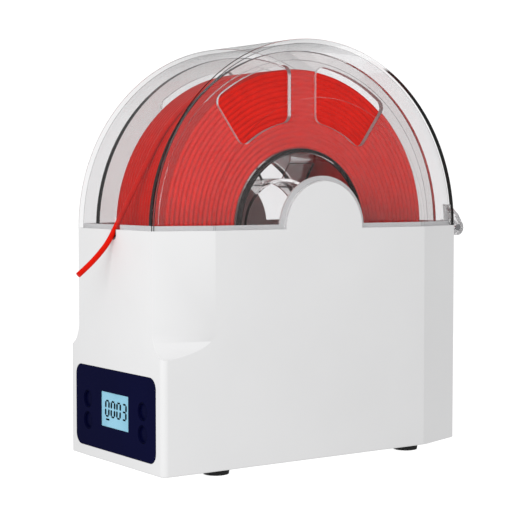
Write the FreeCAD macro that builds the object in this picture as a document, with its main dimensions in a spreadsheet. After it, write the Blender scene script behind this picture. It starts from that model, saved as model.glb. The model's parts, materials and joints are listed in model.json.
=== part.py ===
"""Filament dryer box: a heated, weighing storage box for one spool of printer filament.

Modelling frame: X runs across the box, Y from the control panel (-Y) to the lid hinge (+Y), Z up.
Every piece is drawn with y = 0 under the spool's axis and z = 0 at the housing's bottom edge,
then shifted as a whole, so that the part's origin is the middle of its outline at floor level.
"""
import FreeCAD
import Part
import Sketcher
import math
import os
import re
from FreeCAD import Placement, Rotation, Vector

# ---------------------------------------------------------------- driving dimensions, in mm
DIMENSIONS = {
    # housing
    "body_length": 212.2, "body_width": 102.8, "seam_height": 129.0, "wall": 2.4,
    "cut_x": 10.9, "cut_y": 32.9, "scoop_start": 75.0, "scoop_radius": 14.0,
    "corner_round": 3.5, "edge_round": 0.8, "bay_ceiling": 57.0,
    "tab_radius": 26.4, "tab_border": 3.0, "lip_height": 2.6, "lip_wall": 1.5, "lip_skirt": 6.0,
    "fit_gap": 0.2, "boss_radius": 3.6, "boss_height": 20.0, "pilot_radius": 1.1,
    "boss_front_x": 45.8, "boss_front_y": 95.0, "boss_rear_x": 40.2, "boss_rear_y": 90.0,
    "cut_ahead": 1.0, "cut_past": 0.5, "pilot_floor": 0.8,
    # lid and its hinge
    "lid_wall": 2.2, "tab_gap": 0.4, "pin_y": 111.2, "pin_z": 127.5, "pin_radius": 2.0,
    "pin_play": 0.05, "lug_radius": 4.5, "lug_start": 24.0, "lug_end": 30.8,
    "knuckle_radius": 4.8, "knuckle_start": 31.0, "knuckle_end": 38.0, "pin_end": 38.6,
    "web_drop": 11.0, "web_out": 3.0, "web_low": 3.3,
    # spool, with its axis at the seam
    "flange_radius": 100.0, "spool_width": 62.2, "flange_thick": 3.6, "rim_width": 5.0,
    "rim_thick": 0.4, "wound_radius": 90.0, "hub_radius": 45.0, "hub_wall": 2.4,
    "spindle_radius": 28.0, "spindle_wall": 1.8, "rib_thick": 1.6, "rib_half": 12.0,
    "window_inner": 60.5, "window_outer": 92.5, "window_round": 5.0, "spoke_half": 9.0,
    "window_angle": 38.0,
    # filament
    "strand_radius": 1.5, "strand_gap": 0.4, "exit_y": 106.2, "exit_z": 127.6,
    "notch_width": 5.6, "notch_bottom": 123.4, "lid_notch_height": 6.8, "guide_wall": 0.7,
    # weighing cradle and rollers
    "cell_width": 12.7, "cell_length": 75.0, "cell_low": 5.4, "cell_bore": 4.6, "cell_hole": 6.0,
    "cell_screw_a": 22.5, "cell_screw_b": 32.5, "cell_screw_radius": 2.0, "cell_slot_half": 1.2,
    "cell_head": 3.3, "cell_head_thick": 1.8, "cell_recess": 3.6, "cell_clear": 2.2,
    "cell_screw_end": 10.0, "cell_thread_low": 13.0, "seat_margin": 5.0, "spacer_start": 15.0,
    "cradle_half_x": 42.0, "cradle_half_y": 70.0, "cradle_low": 19.1, "cradle_thick": 2.5,
    "cradle_window_a": 10.0, "cradle_window_b": 34.0, "cradle_window_y": 45.0,
    "ear_inner": 37.0, "ear_outer": 41.0, "ear_half": 7.0, "ear_top": 6.0,
    "roller_spread": 61.4, "roller_radius": 7.0, "roller_touch": 0.05, "roller_lip": 9.0,
    "roller_half": 5.5, "roller_rim": 1.2, "groove_half": 2.8, "shaft_radius": 1.96,
    "shaft_end": 42.6, "bearing_bore": 2.0, "bearing_radius": 4.0, "bearing_half": 1.5, "clip_radius": 3.2,
    "clip_thick": 0.6,
    # heater
    "heater_inner": 12.0, "heater_outer": 40.0, "heater_half_y": 55.0, "heater_low": 9.6,
    "heater_thick": 2.0, "film_thick": 0.8, "film_margin": 3.0, "film_half_y": 46.0,
    "post_radius": 2.4, "post_inset": 3.0, "post_floor": 0.6, "fin_start": 5.0, "fin_pitch": 6.0,
    "fin_half": 0.6, "fin_height": 3.5, "heater_head": 2.2, "heater_head_thick": 1.3,
    "heater_grip": 4.0,
    # electronics bay
    "bay_wall_y": 78.0, "bay_plate": 2.0, "shelf_gap": 0.3, "lead_hole": 2.4,
    "sensor_lead_x": 20.0, "sensor_lead_y": 88.0, "sensor_hole": 1.4, "sensor_thick": 3.5,
    # control panel
    "panel_width": 88.2, "panel_height": 45.6, "panel_z": 28.8, "panel_round": 6.0,
    "rim_back_x": 48.4, "rim_back_z": 25.6, "rim_back": 1.5, "panel_screw_x": 46.4,
    "panel_screw_z": 18.0, "panel_screw_radius": 0.9, "panel_screw_tip": 1.0, "panel_head": 1.7,
    "panel_head_thick": 1.0,
    "lcd_width": 30.2, "lcd_height": 19.6, "lcd_z": 29.0, "window_thick": 1.2, "lcd_gap": 0.1,
    "lcd_border": 2.0, "lcd_frame_gap": 0.3,
    "button_x": 30.3, "button_high": 32.6, "button_low": 20.4, "button_radius": 4.8,
    "button_hole": 5.0, "button_sunk": 0.2, "button_dish": 0.5, "button_rim": 1.4,
    "button_bevel": 0.4, "button_collar": 5.6, "collar_thick": 0.95, "collar_gap": 0.05,
    "button_stem": 2.0,
    "button_stem_end": 97.9, "switch_face": 96.8, "switch_half": 3.1, "plunger_long": 0.5,
    "plunger_radius": 1.6,
    "board_y": 93.5, "board_thick": 1.6, "board_half_x": 40.0, "board_low": 11.0,
    "board_high": 47.0, "board_post_x": 37.0, "board_post_low": 14.0, "board_post_high": 44.0,
    "post_board_radius": 2.2, "post_screw_radius": 1.0, "board_post_bore": 5.0,
    "board_head": 1.9, "board_head_thick": 1.1, "board_grip": 4.5, "bay_grip": 2.2,
    "main_post_x": 36.0, "main_post_low": 16.0, "main_post_high": 42.0, "plug_size": 6.0,
    "capacitor_radius": 3.0, "capacitor_height": 5.0,
    "main_y": 84.6, "main_half_x": 47.0, "main_low": 10.0, "main_high": 48.0, "lead_low": 6.0,
    # power inlet
    "jack_x": 28.0, "jack_z": 14.0, "jack_radius": 5.4, "jack_bore": 2.8, "jack_pin": 1.0,
    "jack_flange": 6.6, "jack_flange_thick": 1.0, "jack_depth": 9.0, "jack_pin_sunk": 0.5,
    "jack_back": 92.0, "nut_margin": 2.2, "nut_thick": 3.0,
    # leads
    "power_lead_radius": 1.5, "heater_lead_radius": 0.8, "signal_lead_radius": 1.0,
    "lead_to_board": 3.4,
    # bottom
    "cover_thick": 2.4, "foot_radius": 7.5, "foot_height": 3.0, "foot_x": 42.0, "foot_y": 67.0,
    "foot_draft": 0.5, "screw_head": 2.7, "screw_recess": 3.0, "screw_clear": 1.7,
    "recess_depth": 1.4, "head_sunk": 0.1, "cover_screw_end": 12.0,
    "vent_width": 2.4, "vent_length": 50.0, "vent_pitch": 7.0,
    # whole part: the hinge stands out behind the rear wall
    "frame_shift": -4.95,
}

doc = FreeCAD.newDocument("filament_dryer_box")
sheet = doc.addObject("Spreadsheet::Sheet", "sizes")
for row, (alias, number) in enumerate(DIMENSIONS.items(), 1):
    sheet.set(f"A{row}", alias)
    sheet.set(f"B{row}", str(number))
    sheet.setAlias(f"B{row}", alias)
doc.recompute()

ALONG = {
    "x": Rotation(Vector(0, 1, 0), 90),
    "y": Rotation(Vector(1, 0, 0), -90),
    "z": Rotation(),
}
SIDES = {"left": "-", "right": ""}
pieces = []


# ---------------------------------------------------------------- helpers
def bound(expression):
    """The expression with every dimension's name pointed at its cell."""
    def cell(match):
        word = match.group(0)
        return f"sizes.{word}" if word in DIMENSIONS else word
    return re.sub(r"[a-z]\w*", cell, str(expression))


def bind(item, **values):
    for name, expression in values.items():
        item.setExpression(name.replace("__", "."), bound(expression))


def new(kind, name):
    return doc.addObject(kind, name)


def box(name, x, y, z):
    """A block between the low and high ends given along each axis."""
    item = new("Part::Box", name)
    bind(item, Length=f"({x[1]}) - ({x[0]})", Width=f"({y[1]}) - ({y[0]})",
         Height=f"({z[1]}) - ({z[0]})", Placement__Base__x=x[0], Placement__Base__y=y[0],
         Placement__Base__z=z[0])
    return item


def rod(name, axis, radius, span, at):
    """A cylinder along an axis; at holds the centre's other two coordinates in X, Y, Z order."""
    item = new("Part::Cylinder", name)
    item.Placement = Placement(Vector(), ALONG[axis])
    base = list(at)
    base.insert("xyz".index(axis), span[0])
    bind(item, Radius=radius, Height=f"({span[1]}) - ({span[0]})",
         Placement__Base__x=base[0], Placement__Base__y=base[1], Placement__Base__z=base[2])
    return item


def fuse(name, *items):
    item = new("Part::MultiFuse", name)
    item.Shapes = list(items)
    return item


def group(name, *items):
    item = new("Part::Compound", name)
    item.Links = list(items)
    return item


def cut(name, base, *tools):
    item = new("Part::Cut", name)
    item.Base = base
    item.Tool = tools[0] if len(tools) == 1 else fuse(name + "_tool", *tools)
    return item


def piece(label, item):
    """Give a finished sub-part its name and move it into the part's frame."""
    item.Label = label
    bind(item, Placement__Base__y="frame_shift", Placement__Base__z="foot_height")
    pieces.append(item)
    return item


def new_body(name):
    return new("PartDesign::Body", name + "_body")


def origin_feature(body, role):
    return next(item for item in body.Origin.OriginFeatures if item.Role == role)


def sketch(body, name, plane, offset="0"):
    """A sketch on one of the body's own planes, lifted along the plane's normal."""
    item = body.newObject("Sketcher::SketchObject", name)
    item.AttachmentSupport = (origin_feature(body, plane), [""])
    item.MapMode = "FlatFace"
    bind(item, AttachmentOffset__Base__z=offset)
    return item


def place(drawing, geometry, point, x, y):
    for kind, expression in (("DistanceX", x), ("DistanceY", y)):
        index = drawing.addConstraint(Sketcher.Constraint(kind, -1, 1, geometry, point, 1.0))
        drawing.setExpression(f"Constraints[{index}]", bound(expression))


def polygon(drawing, points):
    """A closed outline whose corners are all bound to the sheet."""
    first = drawing.GeometryCount
    count = len(points)
    spread = [2 * math.pi * index / count for index in range(count)]
    guess = [Vector(math.cos(angle), math.sin(angle), 0) for angle in spread]
    for index in range(count):
        drawing.addGeometry(Part.LineSegment(guess[index], guess[(index + 1) % count]), False)
    for index in range(count):
        following = first + (index + 1) % count
        drawing.addConstraint(Sketcher.Constraint("Coincident", first + index, 2, following, 1))
    for index, (x, y) in enumerate(points):
        place(drawing, first + index, 1, x, y)
    return drawing


def rectangle(drawing, x, y):
    return polygon(drawing, [(x[0], y[0]), (x[1], y[0]), (x[1], y[1]), (x[0], y[1])])


def circle(drawing, radius, x="0", y="0"):
    index = drawing.addGeometry(Part.Circle(Vector(1, 1, 0), Vector(0, 0, 1), 1.0), False)
    size = drawing.addConstraint(Sketcher.Constraint("Radius", index, 1.0))
    drawing.setExpression(f"Constraints[{size}]", bound(radius))
    place(drawing, index, 3, x, y)
    return drawing


def pad(body, name, drawing, length, reverse=False):
    item = body.newObject("PartDesign::Pad", name)
    item.Profile = drawing
    item.Reversed = reverse
    bind(item, Length=length)
    return item


def pocket(body, name, drawing, length=None, reverse=False):
    """Cut to a depth, or through everything both ways when no depth is given."""
    before = solid_volume(body)
    item = body.newObject("PartDesign::Pocket", name)
    item.Profile = drawing
    item.Reversed = reverse
    if length is None:
        item.Type = "ThroughAll"
        item.Midplane = True
    else:
        bind(item, Length=length)
    if solid_volume(body) >= before:
        raise RuntimeError(f"{name} cuts nothing")
    return item


def solid_volume(body):
    doc.recompute()
    return body.Shape.Volume


def turned(body, kind, name, drawing, axis, angle):
    """A revolution or groove about one of the sketch's own axes."""
    item = body.newObject(f"PartDesign::{kind}", name)
    item.Profile = drawing
    item.ReferenceAxis = (drawing, [axis])
    item.Angle = angle
    return item


def mirrored(body, name, originals, plane):
    item = body.newObject("PartDesign::Mirrored", name)
    item.Originals = originals
    item.MirrorPlane = (origin_feature(body, plane), [""])
    body.Tip = item
    return item


def rounded(body, name, radius, wanted):
    """Fillet the edges whose middle point and direction pass the test."""
    doc.recompute()
    base = body.Tip
    chosen = []
    for number, edge in enumerate(base.Shape.Edges, 1):
        if isinstance(edge.Curve, Part.Line):
            middle = edge.valueAt((edge.FirstParameter + edge.LastParameter) / 2)
            if wanted(middle, edge.Curve.Direction):
                chosen.append(f"Edge{number}")
    item = body.newObject("PartDesign::Fillet", name)
    item.Base = (base, chosen)
    bind(item, Radius=radius)
    return item


def outline(inset, square_front=False):
    """The box's outline seen from above, inset by a wall: a rectangle with long corner cuts."""
    half_x = f"body_width / 2 - ({inset})"
    half_y = f"body_length / 2 - ({inset})"
    slant = "sqrt(cut_x ^ 2 + cut_y ^ 2)"
    flat_x = f"body_width / 2 - cut_x - ({inset}) * ({slant} - cut_x) / cut_y"
    flat_y = f"body_length / 2 - cut_y - ({inset}) * ({slant} - cut_y) / cut_x"
    rear = [(half_x, flat_y), (flat_x, half_y), (f"-({flat_x})", half_y), (f"-({half_x})", flat_y)]
    if square_front:
        front = [(f"-({half_x})", f"-({half_y})"), (half_x, f"-({half_y})")]
    else:
        front = [(f"-({x})", f"-({y})") for x, y in rear]
    return rear + front


def tube(path_points, radius):
    """A round tube along straight runs joined by tangent arcs, each as large as its runs allow."""
    edges = []
    start = path_points[0]
    radii = []
    length = 0.0
    for before, corner, after in zip(path_points, path_points[1:], path_points[2:]):
        into = corner - before
        out = after - corner
        half_turn = into.getAngle(out) / 2
        reach = 0.45 * min(into.Length, out.Length)
        bend = reach / math.tan(half_turn)
        into.normalize()
        out.normalize()
        first = corner - into * reach
        last = corner + out * reach
        inward = (out - into).normalize()
        middle = corner + inward * (bend / math.cos(half_turn) - bend)
        edges += [Part.LineSegment(start, first), Part.Arc(first, middle, last)]
        length += (first - start).Length + 2 * half_turn * bend
        radii.append(round(bend, 1))
        start = last
    edges.append(Part.LineSegment(start, path_points[-1]))
    length += (path_points[-1] - start).Length
    path = Part.Wire([edge.toShape() for edge in edges])
    heading = path_points[1] - path_points[0]
    ring = Part.Circle(path_points[0], heading, radius).toShape()
    solid = path.makePipeShell([Part.Wire(ring)], True, False)
    expected = math.pi * radius ** 2 * length
    print(f"tube: length {length:.1f}, radii {radii}, volume {solid.Volume / expected:.4f}")
    if abs(solid.Volume / expected - 1) > 0.01:
        raise RuntimeError("a tube's volume is not its section times its length")
    return solid


def lead(label, routes, radius):
    """A cord held inside the object, or the filament: one tube for each route."""
    solids = [tube([Vector(*point) for point in route], radius) for route in routes]
    item = new("Part::Feature", label + "_tube")
    item.Shape = solids[0] if len(solids) == 1 else Part.makeCompound(solids)
    return piece(label, item)


# ---------------------------------------------------------------- housing
def base_housing():
    body = new_body("housing")
    blank = sketch(body, "housing_blank", "XY_Plane")
    pad(body, "housing_block", polygon(blank, outline("0", square_front=True)), "seam_height")

    # the front corner cuts stop above the electronics bay in a concave scoop
    scoop = body.newObject("Sketcher::SketchObject", "scoop_profile")
    scoop.AttachmentSupport = (origin_feature(body, "XZ_Plane"), [""])
    scoop.MapMode = "FlatFace"
    scoop.AttachmentOffset = Placement(Vector(), Rotation(Vector(0, 1, 0), 1))
    bind(scoop, AttachmentOffset__Base__x="body_width / 2 - cut_x",
         AttachmentOffset__Base__z="body_length / 2",
         AttachmentOffset__Rotation__Angle="-atan(cut_x / cut_y)")
    polygon(scoop, [("0", "scoop_start"), ("scoop_radius", "scoop_start"),
                    ("scoop_radius", "2 * seam_height"), ("0", "2 * seam_height")])
    upper = pocket(body, "scoop_upper", scoop)
    bowl = body.newObject("Sketcher::SketchObject", "scoop_bowl")
    bowl.AttachmentSupport = scoop.AttachmentSupport
    bowl.MapMode = "FlatFace"
    bowl.AttachmentOffset = scoop.AttachmentOffset
    for path, expression in scoop.ExpressionEngine:
        if "AttachmentOffset" in path:
            bowl.setExpression(path, expression)
    lower = pocket(body, "scoop_lower", circle(bowl, "scoop_radius", "scoop_radius", "scoop_start"))
    mirrored(body, "scoop_mirror", [upper, lower], "YZ_Plane")

    half_x = DIMENSIONS["body_width"] / 2
    half_y = DIMENSIONS["body_length"] / 2
    block_top = DIMENSIONS["scoop_start"] - DIMENSIONS["scoop_radius"]
    rounded(body, "block_corners", "corner_round", lambda middle, way: abs(way.z) > 0.9
            and middle.y < 1 - half_y and abs(middle.x) > half_x - 1 and middle.z < block_top)

    # raised lip inside the lid, then the hollow
    lip = sketch(body, "lip_outline", "XY_Plane", "seam_height")
    pad(body, "lip_block", polygon(lip, outline("wall")), "lip_height")
    mouth = sketch(body, "mouth_outline", "XY_Plane")
    pocket(body, "mouth", polygon(mouth, outline("wall + lip_wall")))
    hollow = sketch(body, "hollow_outline", "XY_Plane")
    pocket(body, "hollow", polygon(hollow, outline("wall")), "seam_height - lip_skirt", True)
    bay = sketch(body, "bay_outline", "XY_Plane")
    rectangle(bay, ("wall - body_width / 2", "body_width / 2 - wall"),
              ("wall - body_length / 2", "cut_y - body_length / 2"))
    pocket(body, "bay", bay, "bay_ceiling", True)

    # round tabs on the long walls, with a thinner border standing inside the lid
    tab = sketch(body, "tab_disc", "YZ_Plane", "body_width / 2 - wall")
    tab_pad = pad(body, "tab", circle(tab, "tab_radius", "0", "seam_height"), "wall")
    border = sketch(body, "border_disc", "YZ_Plane", "body_width / 2 - wall - lip_wall")
    circle(border, "tab_radius + tab_border", "0", "seam_height")
    border_pad = pad(body, "tab_border", border, "lip_wall")
    mirrored(body, "tab_mirror", [tab_pad, border_pad], "YZ_Plane")

    # hinge lugs behind the rear wall
    web = sketch(body, "lug_web", "YZ_Plane", "lug_start")
    polygon(web, [("body_length / 2 - wall / 2", "pin_z - web_drop"),
                  ("pin_y + web_out", "pin_z - web_low"), ("pin_y", "pin_z"),
                  ("body_length / 2 - wall / 2", "pin_z")])
    web_pad = pad(body, "lug_web_pad", web, "lug_end - lug_start")
    eye = sketch(body, "lug_eye", "YZ_Plane", "lug_start")
    eye_pad = pad(body, "lug_eye_pad", circle(eye, "lug_radius", "pin_y", "pin_z"),
                  "lug_end - lug_start")
    mirrored(body, "lug_mirror", [web_pad, eye_pad], "YZ_Plane")
    pin_hole = sketch(body, "pin_hole", "YZ_Plane")
    pocket(body, "pin_bore", circle(pin_hole, "pin_radius", "pin_y", "pin_z"))

    # bosses for the bottom cover's screws
    bosses = sketch(body, "boss_rings", "XY_Plane", "cover_thick + fit_gap")
    pilots = sketch(body, "boss_pilots", "XY_Plane", "cover_thick + fit_gap")
    for x, y in cover_corners():
        circle(bosses, "boss_radius", x, y)
        circle(pilots, "pilot_radius", x, y)
    pad(body, "bosses", bosses, "boss_height - cover_thick")
    pocket(body, "boss_holes", pilots, "boss_height - 2 * cover_thick", True)

    # openings: control panel, filament notch, power inlet
    panel = sketch(body, "panel_opening", "XZ_Plane", "body_length / 2 + cut_ahead")
    rectangle(panel, ("-panel_width / 2 - fit_gap", "panel_width / 2 + fit_gap"),
              ("panel_z - panel_height / 2 - fit_gap", "panel_z + panel_height / 2 + fit_gap"))
    pocket(body, "panel_hole", panel, "cut_ahead + wall + cut_past")
    top = DIMENSIONS["panel_z"] + DIMENSIONS["panel_height"]
    side = DIMENSIONS["panel_width"] / 2 + DIMENSIONS["fit_gap"]
    rounded(body, "panel_corners", "panel_round + fit_gap", lambda middle, way: abs(way.y) > 0.9
            and abs(abs(middle.x) - side) < 0.01 and middle.y < 0 and middle.z < top)
    screws = sketch(body, "panel_pilots", "XZ_Plane", "body_length / 2 - wall")
    for x in SIDES.values():
        for z in SIDES.values():
            circle(screws, "panel_screw_radius", f"{x}panel_screw_x", f"panel_z + {z}panel_screw_z")
    pocket(body, "panel_pilot_holes", screws, "wall - pilot_floor", True)
    notch = sketch(body, "notch_slot", "XZ_Plane", "body_length / 2 + cut_ahead")
    rectangle(notch, ("-notch_width / 2", "notch_width / 2"),
              ("notch_bottom + notch_width / 2", "seam_height + 2 * lip_height"))
    pocket(body, "notch", notch, "cut_ahead + wall + lip_wall + cut_past")
    notch_end = sketch(body, "notch_round", "XZ_Plane", "body_length / 2 + cut_ahead")
    circle(notch_end, "notch_width / 2", "0", "notch_bottom + notch_width / 2")
    pocket(body, "notch_foot", notch_end, "cut_ahead + wall + lip_wall + cut_past")
    inlet = sketch(body, "inlet_circle", "XZ_Plane", "wall - body_length / 2 + cut_ahead")
    pocket(body, "inlet", circle(inlet, "jack_radius", "jack_x", "jack_z"),
           "cut_ahead + wall + cut_past")

    rounded(body, "bottom_edges", "edge_round", lambda middle, way: abs(way.z) < 0.1
            and middle.z < 0.01 and (abs(middle.x) > half_x - 0.01 or abs(middle.y) > half_y - 0.01))
    piece("base_housing", body)


def bottom_cover():
    body = new_body("cover")
    plate = sketch(body, "cover_outline", "XY_Plane")
    pad(body, "cover_plate", polygon(plate, outline("wall + fit_gap", square_front=True)),
        "cover_thick")
    seat = sketch(body, "cell_seat", "XY_Plane", "cover_thick")
    rectangle(seat, ("-cell_width / 2", "cell_width / 2"),
              ("-cell_length / 2", "seat_margin - cell_screw_a + cell_screw_radius"))
    pad(body, "cell_seat_pad", seat, "cell_low - cover_thick")
    posts = sketch(body, "heater_posts", "XY_Plane", "cover_thick")
    for x, y in heater_corners():
        circle(posts, "post_radius", x, y)
    pad(body, "heater_post_pads", posts, "heater_low - cover_thick")
    for name, radius, depth in (("head_recess", "screw_recess", "recess_depth"),
                                ("screw_hole", "screw_clear", None)):
        holes = sketch(body, name, "XY_Plane")
        for x, y in cover_corners():
            circle(holes, radius, x, y)
        pocket(body, name + "_cut", holes, depth, True)
    for name, radius, depth in (("cell_head_recess", "cell_recess", "recess_depth"),
                                ("cell_hole_cut", "cell_clear", None)):
        holes = sketch(body, name, "XY_Plane")
        for y in ("-cell_screw_a", "-cell_screw_b"):
            circle(holes, radius, "0", y)
        pocket(body, name + "_pocket", holes, depth, True)
    pilots = sketch(body, "post_pilots", "XY_Plane", "heater_low")
    for x, y in heater_corners():
        circle(pilots, "pilot_radius", x, y)
    pocket(body, "post_pilot_holes", pilots, "heater_low - cover_thick - post_floor")
    vents = sketch(body, "vent_slots", "XY_Plane")
    for side in (-1, 1):
        for step in range(3):
            centre = f"{side} * (heater_inner + vent_pitch * {step + 1})"
            rectangle(vents, (f"{centre} - vent_width / 2", f"{centre} + vent_width / 2"),
                      ("-vent_length / 2", "vent_length / 2"))
    pocket(body, "vents", vents)
    piece("bottom_cover", body)


def cover_corners():
    return [(f"{side}boss_{end}_x", f"{sign}boss_{end}_y")
            for side in SIDES.values() for end, sign in (("front", "-"), ("rear", ""))]


def heater_corners():
    return [(f"{side}({x})", f"{sign}(heater_half_y - post_inset)") for side in SIDES.values()
            for x in ("heater_inner + post_inset", "heater_outer - post_inset")
            for sign in SIDES.values()]


def screw(name, axis, head_radius, head, shank_radius, shank, at):
    """A screw as a head and a shank, each between two stations along its axis."""
    return fuse(name, rod(name + "_head", axis, head_radius, head, at),
                rod(name + "_shank", axis, shank_radius, shank, at))


def bottom_fasteners():
    feet = []
    for number, (x, y) in enumerate([(x, y) for x in SIDES.values() for y in SIDES.values()]):
        foot = new("Part::Cone", f"foot_{number}")
        bind(foot, Radius1="foot_radius - foot_draft", Radius2="foot_radius", Height="foot_height",
             Placement__Base__x=f"{x}foot_x", Placement__Base__y=f"{y}foot_y",
             Placement__Base__z="-foot_height")
        feet.append(foot)
    piece("rubber_feet", group("feet", *feet))
    screws = [screw(f"cover_screw_{number}", "z", "screw_head", ("head_sunk", "recess_depth"),
                    "pilot_radius", ("recess_depth", "cover_screw_end"), at)
              for number, at in enumerate(cover_corners())]
    piece("cover_screws", group("cover_screw_set", *screws))


# ---------------------------------------------------------------- weighing cradle and rollers
CELL_TOP = "cell_low + cell_width"
CRADLE_TOP = "cradle_low + cradle_thick"
ROLLER_Z = ("seam_height - sqrt((flange_radius + roller_radius + roller_touch) ^ 2"
            " - roller_spread ^ 2)")
FLANGE_X = "spool_width / 2 - flange_thick / 2"


def load_cell():
    body = new_body("cell")
    bar = sketch(body, "cell_outline", "XY_Plane", "cell_low")
    rectangle(bar, ("-cell_width / 2", "cell_width / 2"), ("-cell_length / 2", "cell_length / 2"))
    pad(body, "cell_bar", bar, "cell_width")
    slot = sketch(body, "cell_slot", "YZ_Plane")
    rectangle(slot, ("-cell_hole", "cell_hole"),
              ("cell_low + cell_width / 2 - cell_slot_half",
               "cell_low + cell_width / 2 + cell_slot_half"))
    pocket(body, "cell_slot_cut", slot)
    for sign in SIDES.values():
        bore = sketch(body, "cell_bore_circle", "YZ_Plane")
        circle(bore, "cell_bore", f"{sign}cell_hole", "cell_low + cell_width / 2")
        pocket(body, "cell_bore_cut", bore)
    holes = sketch(body, "cell_holes", "XY_Plane")
    for y in ("-cell_screw_a", "-cell_screw_b", "cell_screw_a", "cell_screw_b"):
        circle(holes, "cell_screw_radius", "0", y)
    pocket(body, "cell_hole_cut", holes)
    piece("load_cell", body)

    screws = []
    for number, y in enumerate(("cell_screw_a", "cell_screw_b")):
        screws.append(screw(f"cell_low_screw_{number}", "z", "cell_head",
                            ("head_sunk", "recess_depth"), "cell_screw_radius",
                            ("recess_depth", "cell_screw_end"), ("0", f"-{y}")))
        screws.append(screw(f"cell_top_screw_{number}", "z", "cell_head",
                            (CRADLE_TOP, f"{CRADLE_TOP} + cell_head_thick"), "cell_screw_radius",
                            ("cell_thread_low", CRADLE_TOP), ("0", y)))
    piece("load_cell_screws", group("cell_screw_set", *screws))


def roller_cradle():
    body = new_body("cradle")
    plate = sketch(body, "cradle_outline", "XY_Plane", "cradle_low")
    rectangle(plate, ("-cradle_half_x", "cradle_half_x"), ("-cradle_half_y", "cradle_half_y"))
    pad(body, "cradle_plate", plate, "cradle_thick")
    spacer = sketch(body, "cradle_spacer", "XY_Plane", CELL_TOP)
    rectangle(spacer, ("-cell_width / 2", "cell_width / 2"), ("spacer_start", "cell_length / 2"))
    pad(body, "cradle_spacer_pad", spacer, f"cradle_low - ({CELL_TOP})")
    ears = []
    for sign in SIDES.values():
        ear = sketch(body, "ear_profile", "YZ_Plane", "ear_inner")
        centre = f"{sign}roller_spread"
        polygon(ear, [(f"{centre} - ear_half", "cradle_low"), (f"{centre} + ear_half", "cradle_low"),
                      (f"{centre} + ear_half", ROLLER_Z), (f"{centre} + ear_half / 2",
                      f"{ROLLER_Z} + ear_top"), (f"{centre} - ear_half / 2",
                      f"{ROLLER_Z} + ear_top"), (f"{centre} - ear_half", ROLLER_Z)])
        ears.append(pad(body, "ear", ear, "ear_outer - ear_inner"))
    mirrored(body, "ear_mirror", ears, "YZ_Plane")
    seats = sketch(body, "bearing_seats", "YZ_Plane")
    for sign in SIDES.values():
        circle(seats, "bearing_radius", f"{sign}roller_spread", ROLLER_Z)
    pocket(body, "bearing_bores", seats)
    windows = sketch(body, "cradle_windows", "XY_Plane")
    for sign in (-1, 1):
        rectangle(windows, (f"{sign} * cradle_window_a", f"{sign} * cradle_window_b"),
                  ("-cradle_window_y", "cradle_window_y"))
    pocket(body, "cradle_window_cuts", windows)
    holes = sketch(body, "cradle_holes", "XY_Plane")
    for y in ("cell_screw_a", "cell_screw_b"):
        circle(holes, "cell_screw_radius + fit_gap", "0", y)
    pocket(body, "cradle_hole_cuts", holes)
    piece("roller_cradle", body)

    rings = []
    for number, (x, y) in enumerate([(x, y) for x in (-1, 1) for y in SIDES.values()]):
        middle = f"{x} * (ear_inner + ear_outer) / 2"
        span = (f"{middle} - bearing_half", f"{middle} + bearing_half")
        at = (f"{y}roller_spread", ROLLER_Z)
        rings.append(cut(f"bearing_{number}", rod(f"bearing_{number}_outer", "x",
                         "bearing_radius", span, at), rod(f"bearing_{number}_bore", "x",
                         "bearing_bore", span, at)))
    piece("roller_bearings", group("bearing_set", *rings))


def rollers():
    for end, sign in (("front", "-"), ("rear", "")):
        at = (f"{sign}roller_spread", ROLLER_Z)
        shaft = rod(f"shaft_{end}", "x", "shaft_radius", ("-shaft_end", "shaft_end"), at)
        piece(f"roller_shaft_{end}", group(f"shaft_{end}_set", shaft))
        clips = []
        for side, x in (("left", -1), ("right", 1)):
            span = [f"{x} * (ear_outer + fit_gap)", f"{x} * (ear_outer + fit_gap + clip_thick)"]
            span = span[::x]
            clips.append(cut(f"clip_{end}_{side}",
                             rod(f"clip_{end}_{side}_disc", "x", "clip_radius", span, at),
                             rod(f"clip_{end}_{side}_bore", "x", "shaft_radius", span, at)))
            body = new_body(f"roller_{end}_{side}")
            profile = sketch(body, f"roller_{end}_{side}_profile", "XZ_Plane",
                             f"-({sign}roller_spread)")
            bind(profile, AttachmentOffset__Base__y=ROLLER_Z)
            middle = f"{x} * ({FLANGE_X})"
            polygon(profile, [(f"{middle} - roller_half", "shaft_radius"),
                              (f"{middle} + roller_half", "shaft_radius"),
                              (f"{middle} + roller_half", "roller_lip"),
                              (f"{middle} + roller_half - roller_rim", "roller_lip"),
                              (f"{middle} + groove_half", "roller_radius"),
                              (f"{middle} - groove_half", "roller_radius"),
                              (f"{middle} - roller_half + roller_rim", "roller_lip"),
                              (f"{middle} - roller_half", "roller_lip")])
            turned(body, "Revolution", f"roller_{end}_{side}_turn", profile, "H_Axis", 360)
            piece(f"roller_{end}_{side}", body)
        piece(f"shaft_clips_{end}", group(f"clip_{end}_set", *clips))


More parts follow.
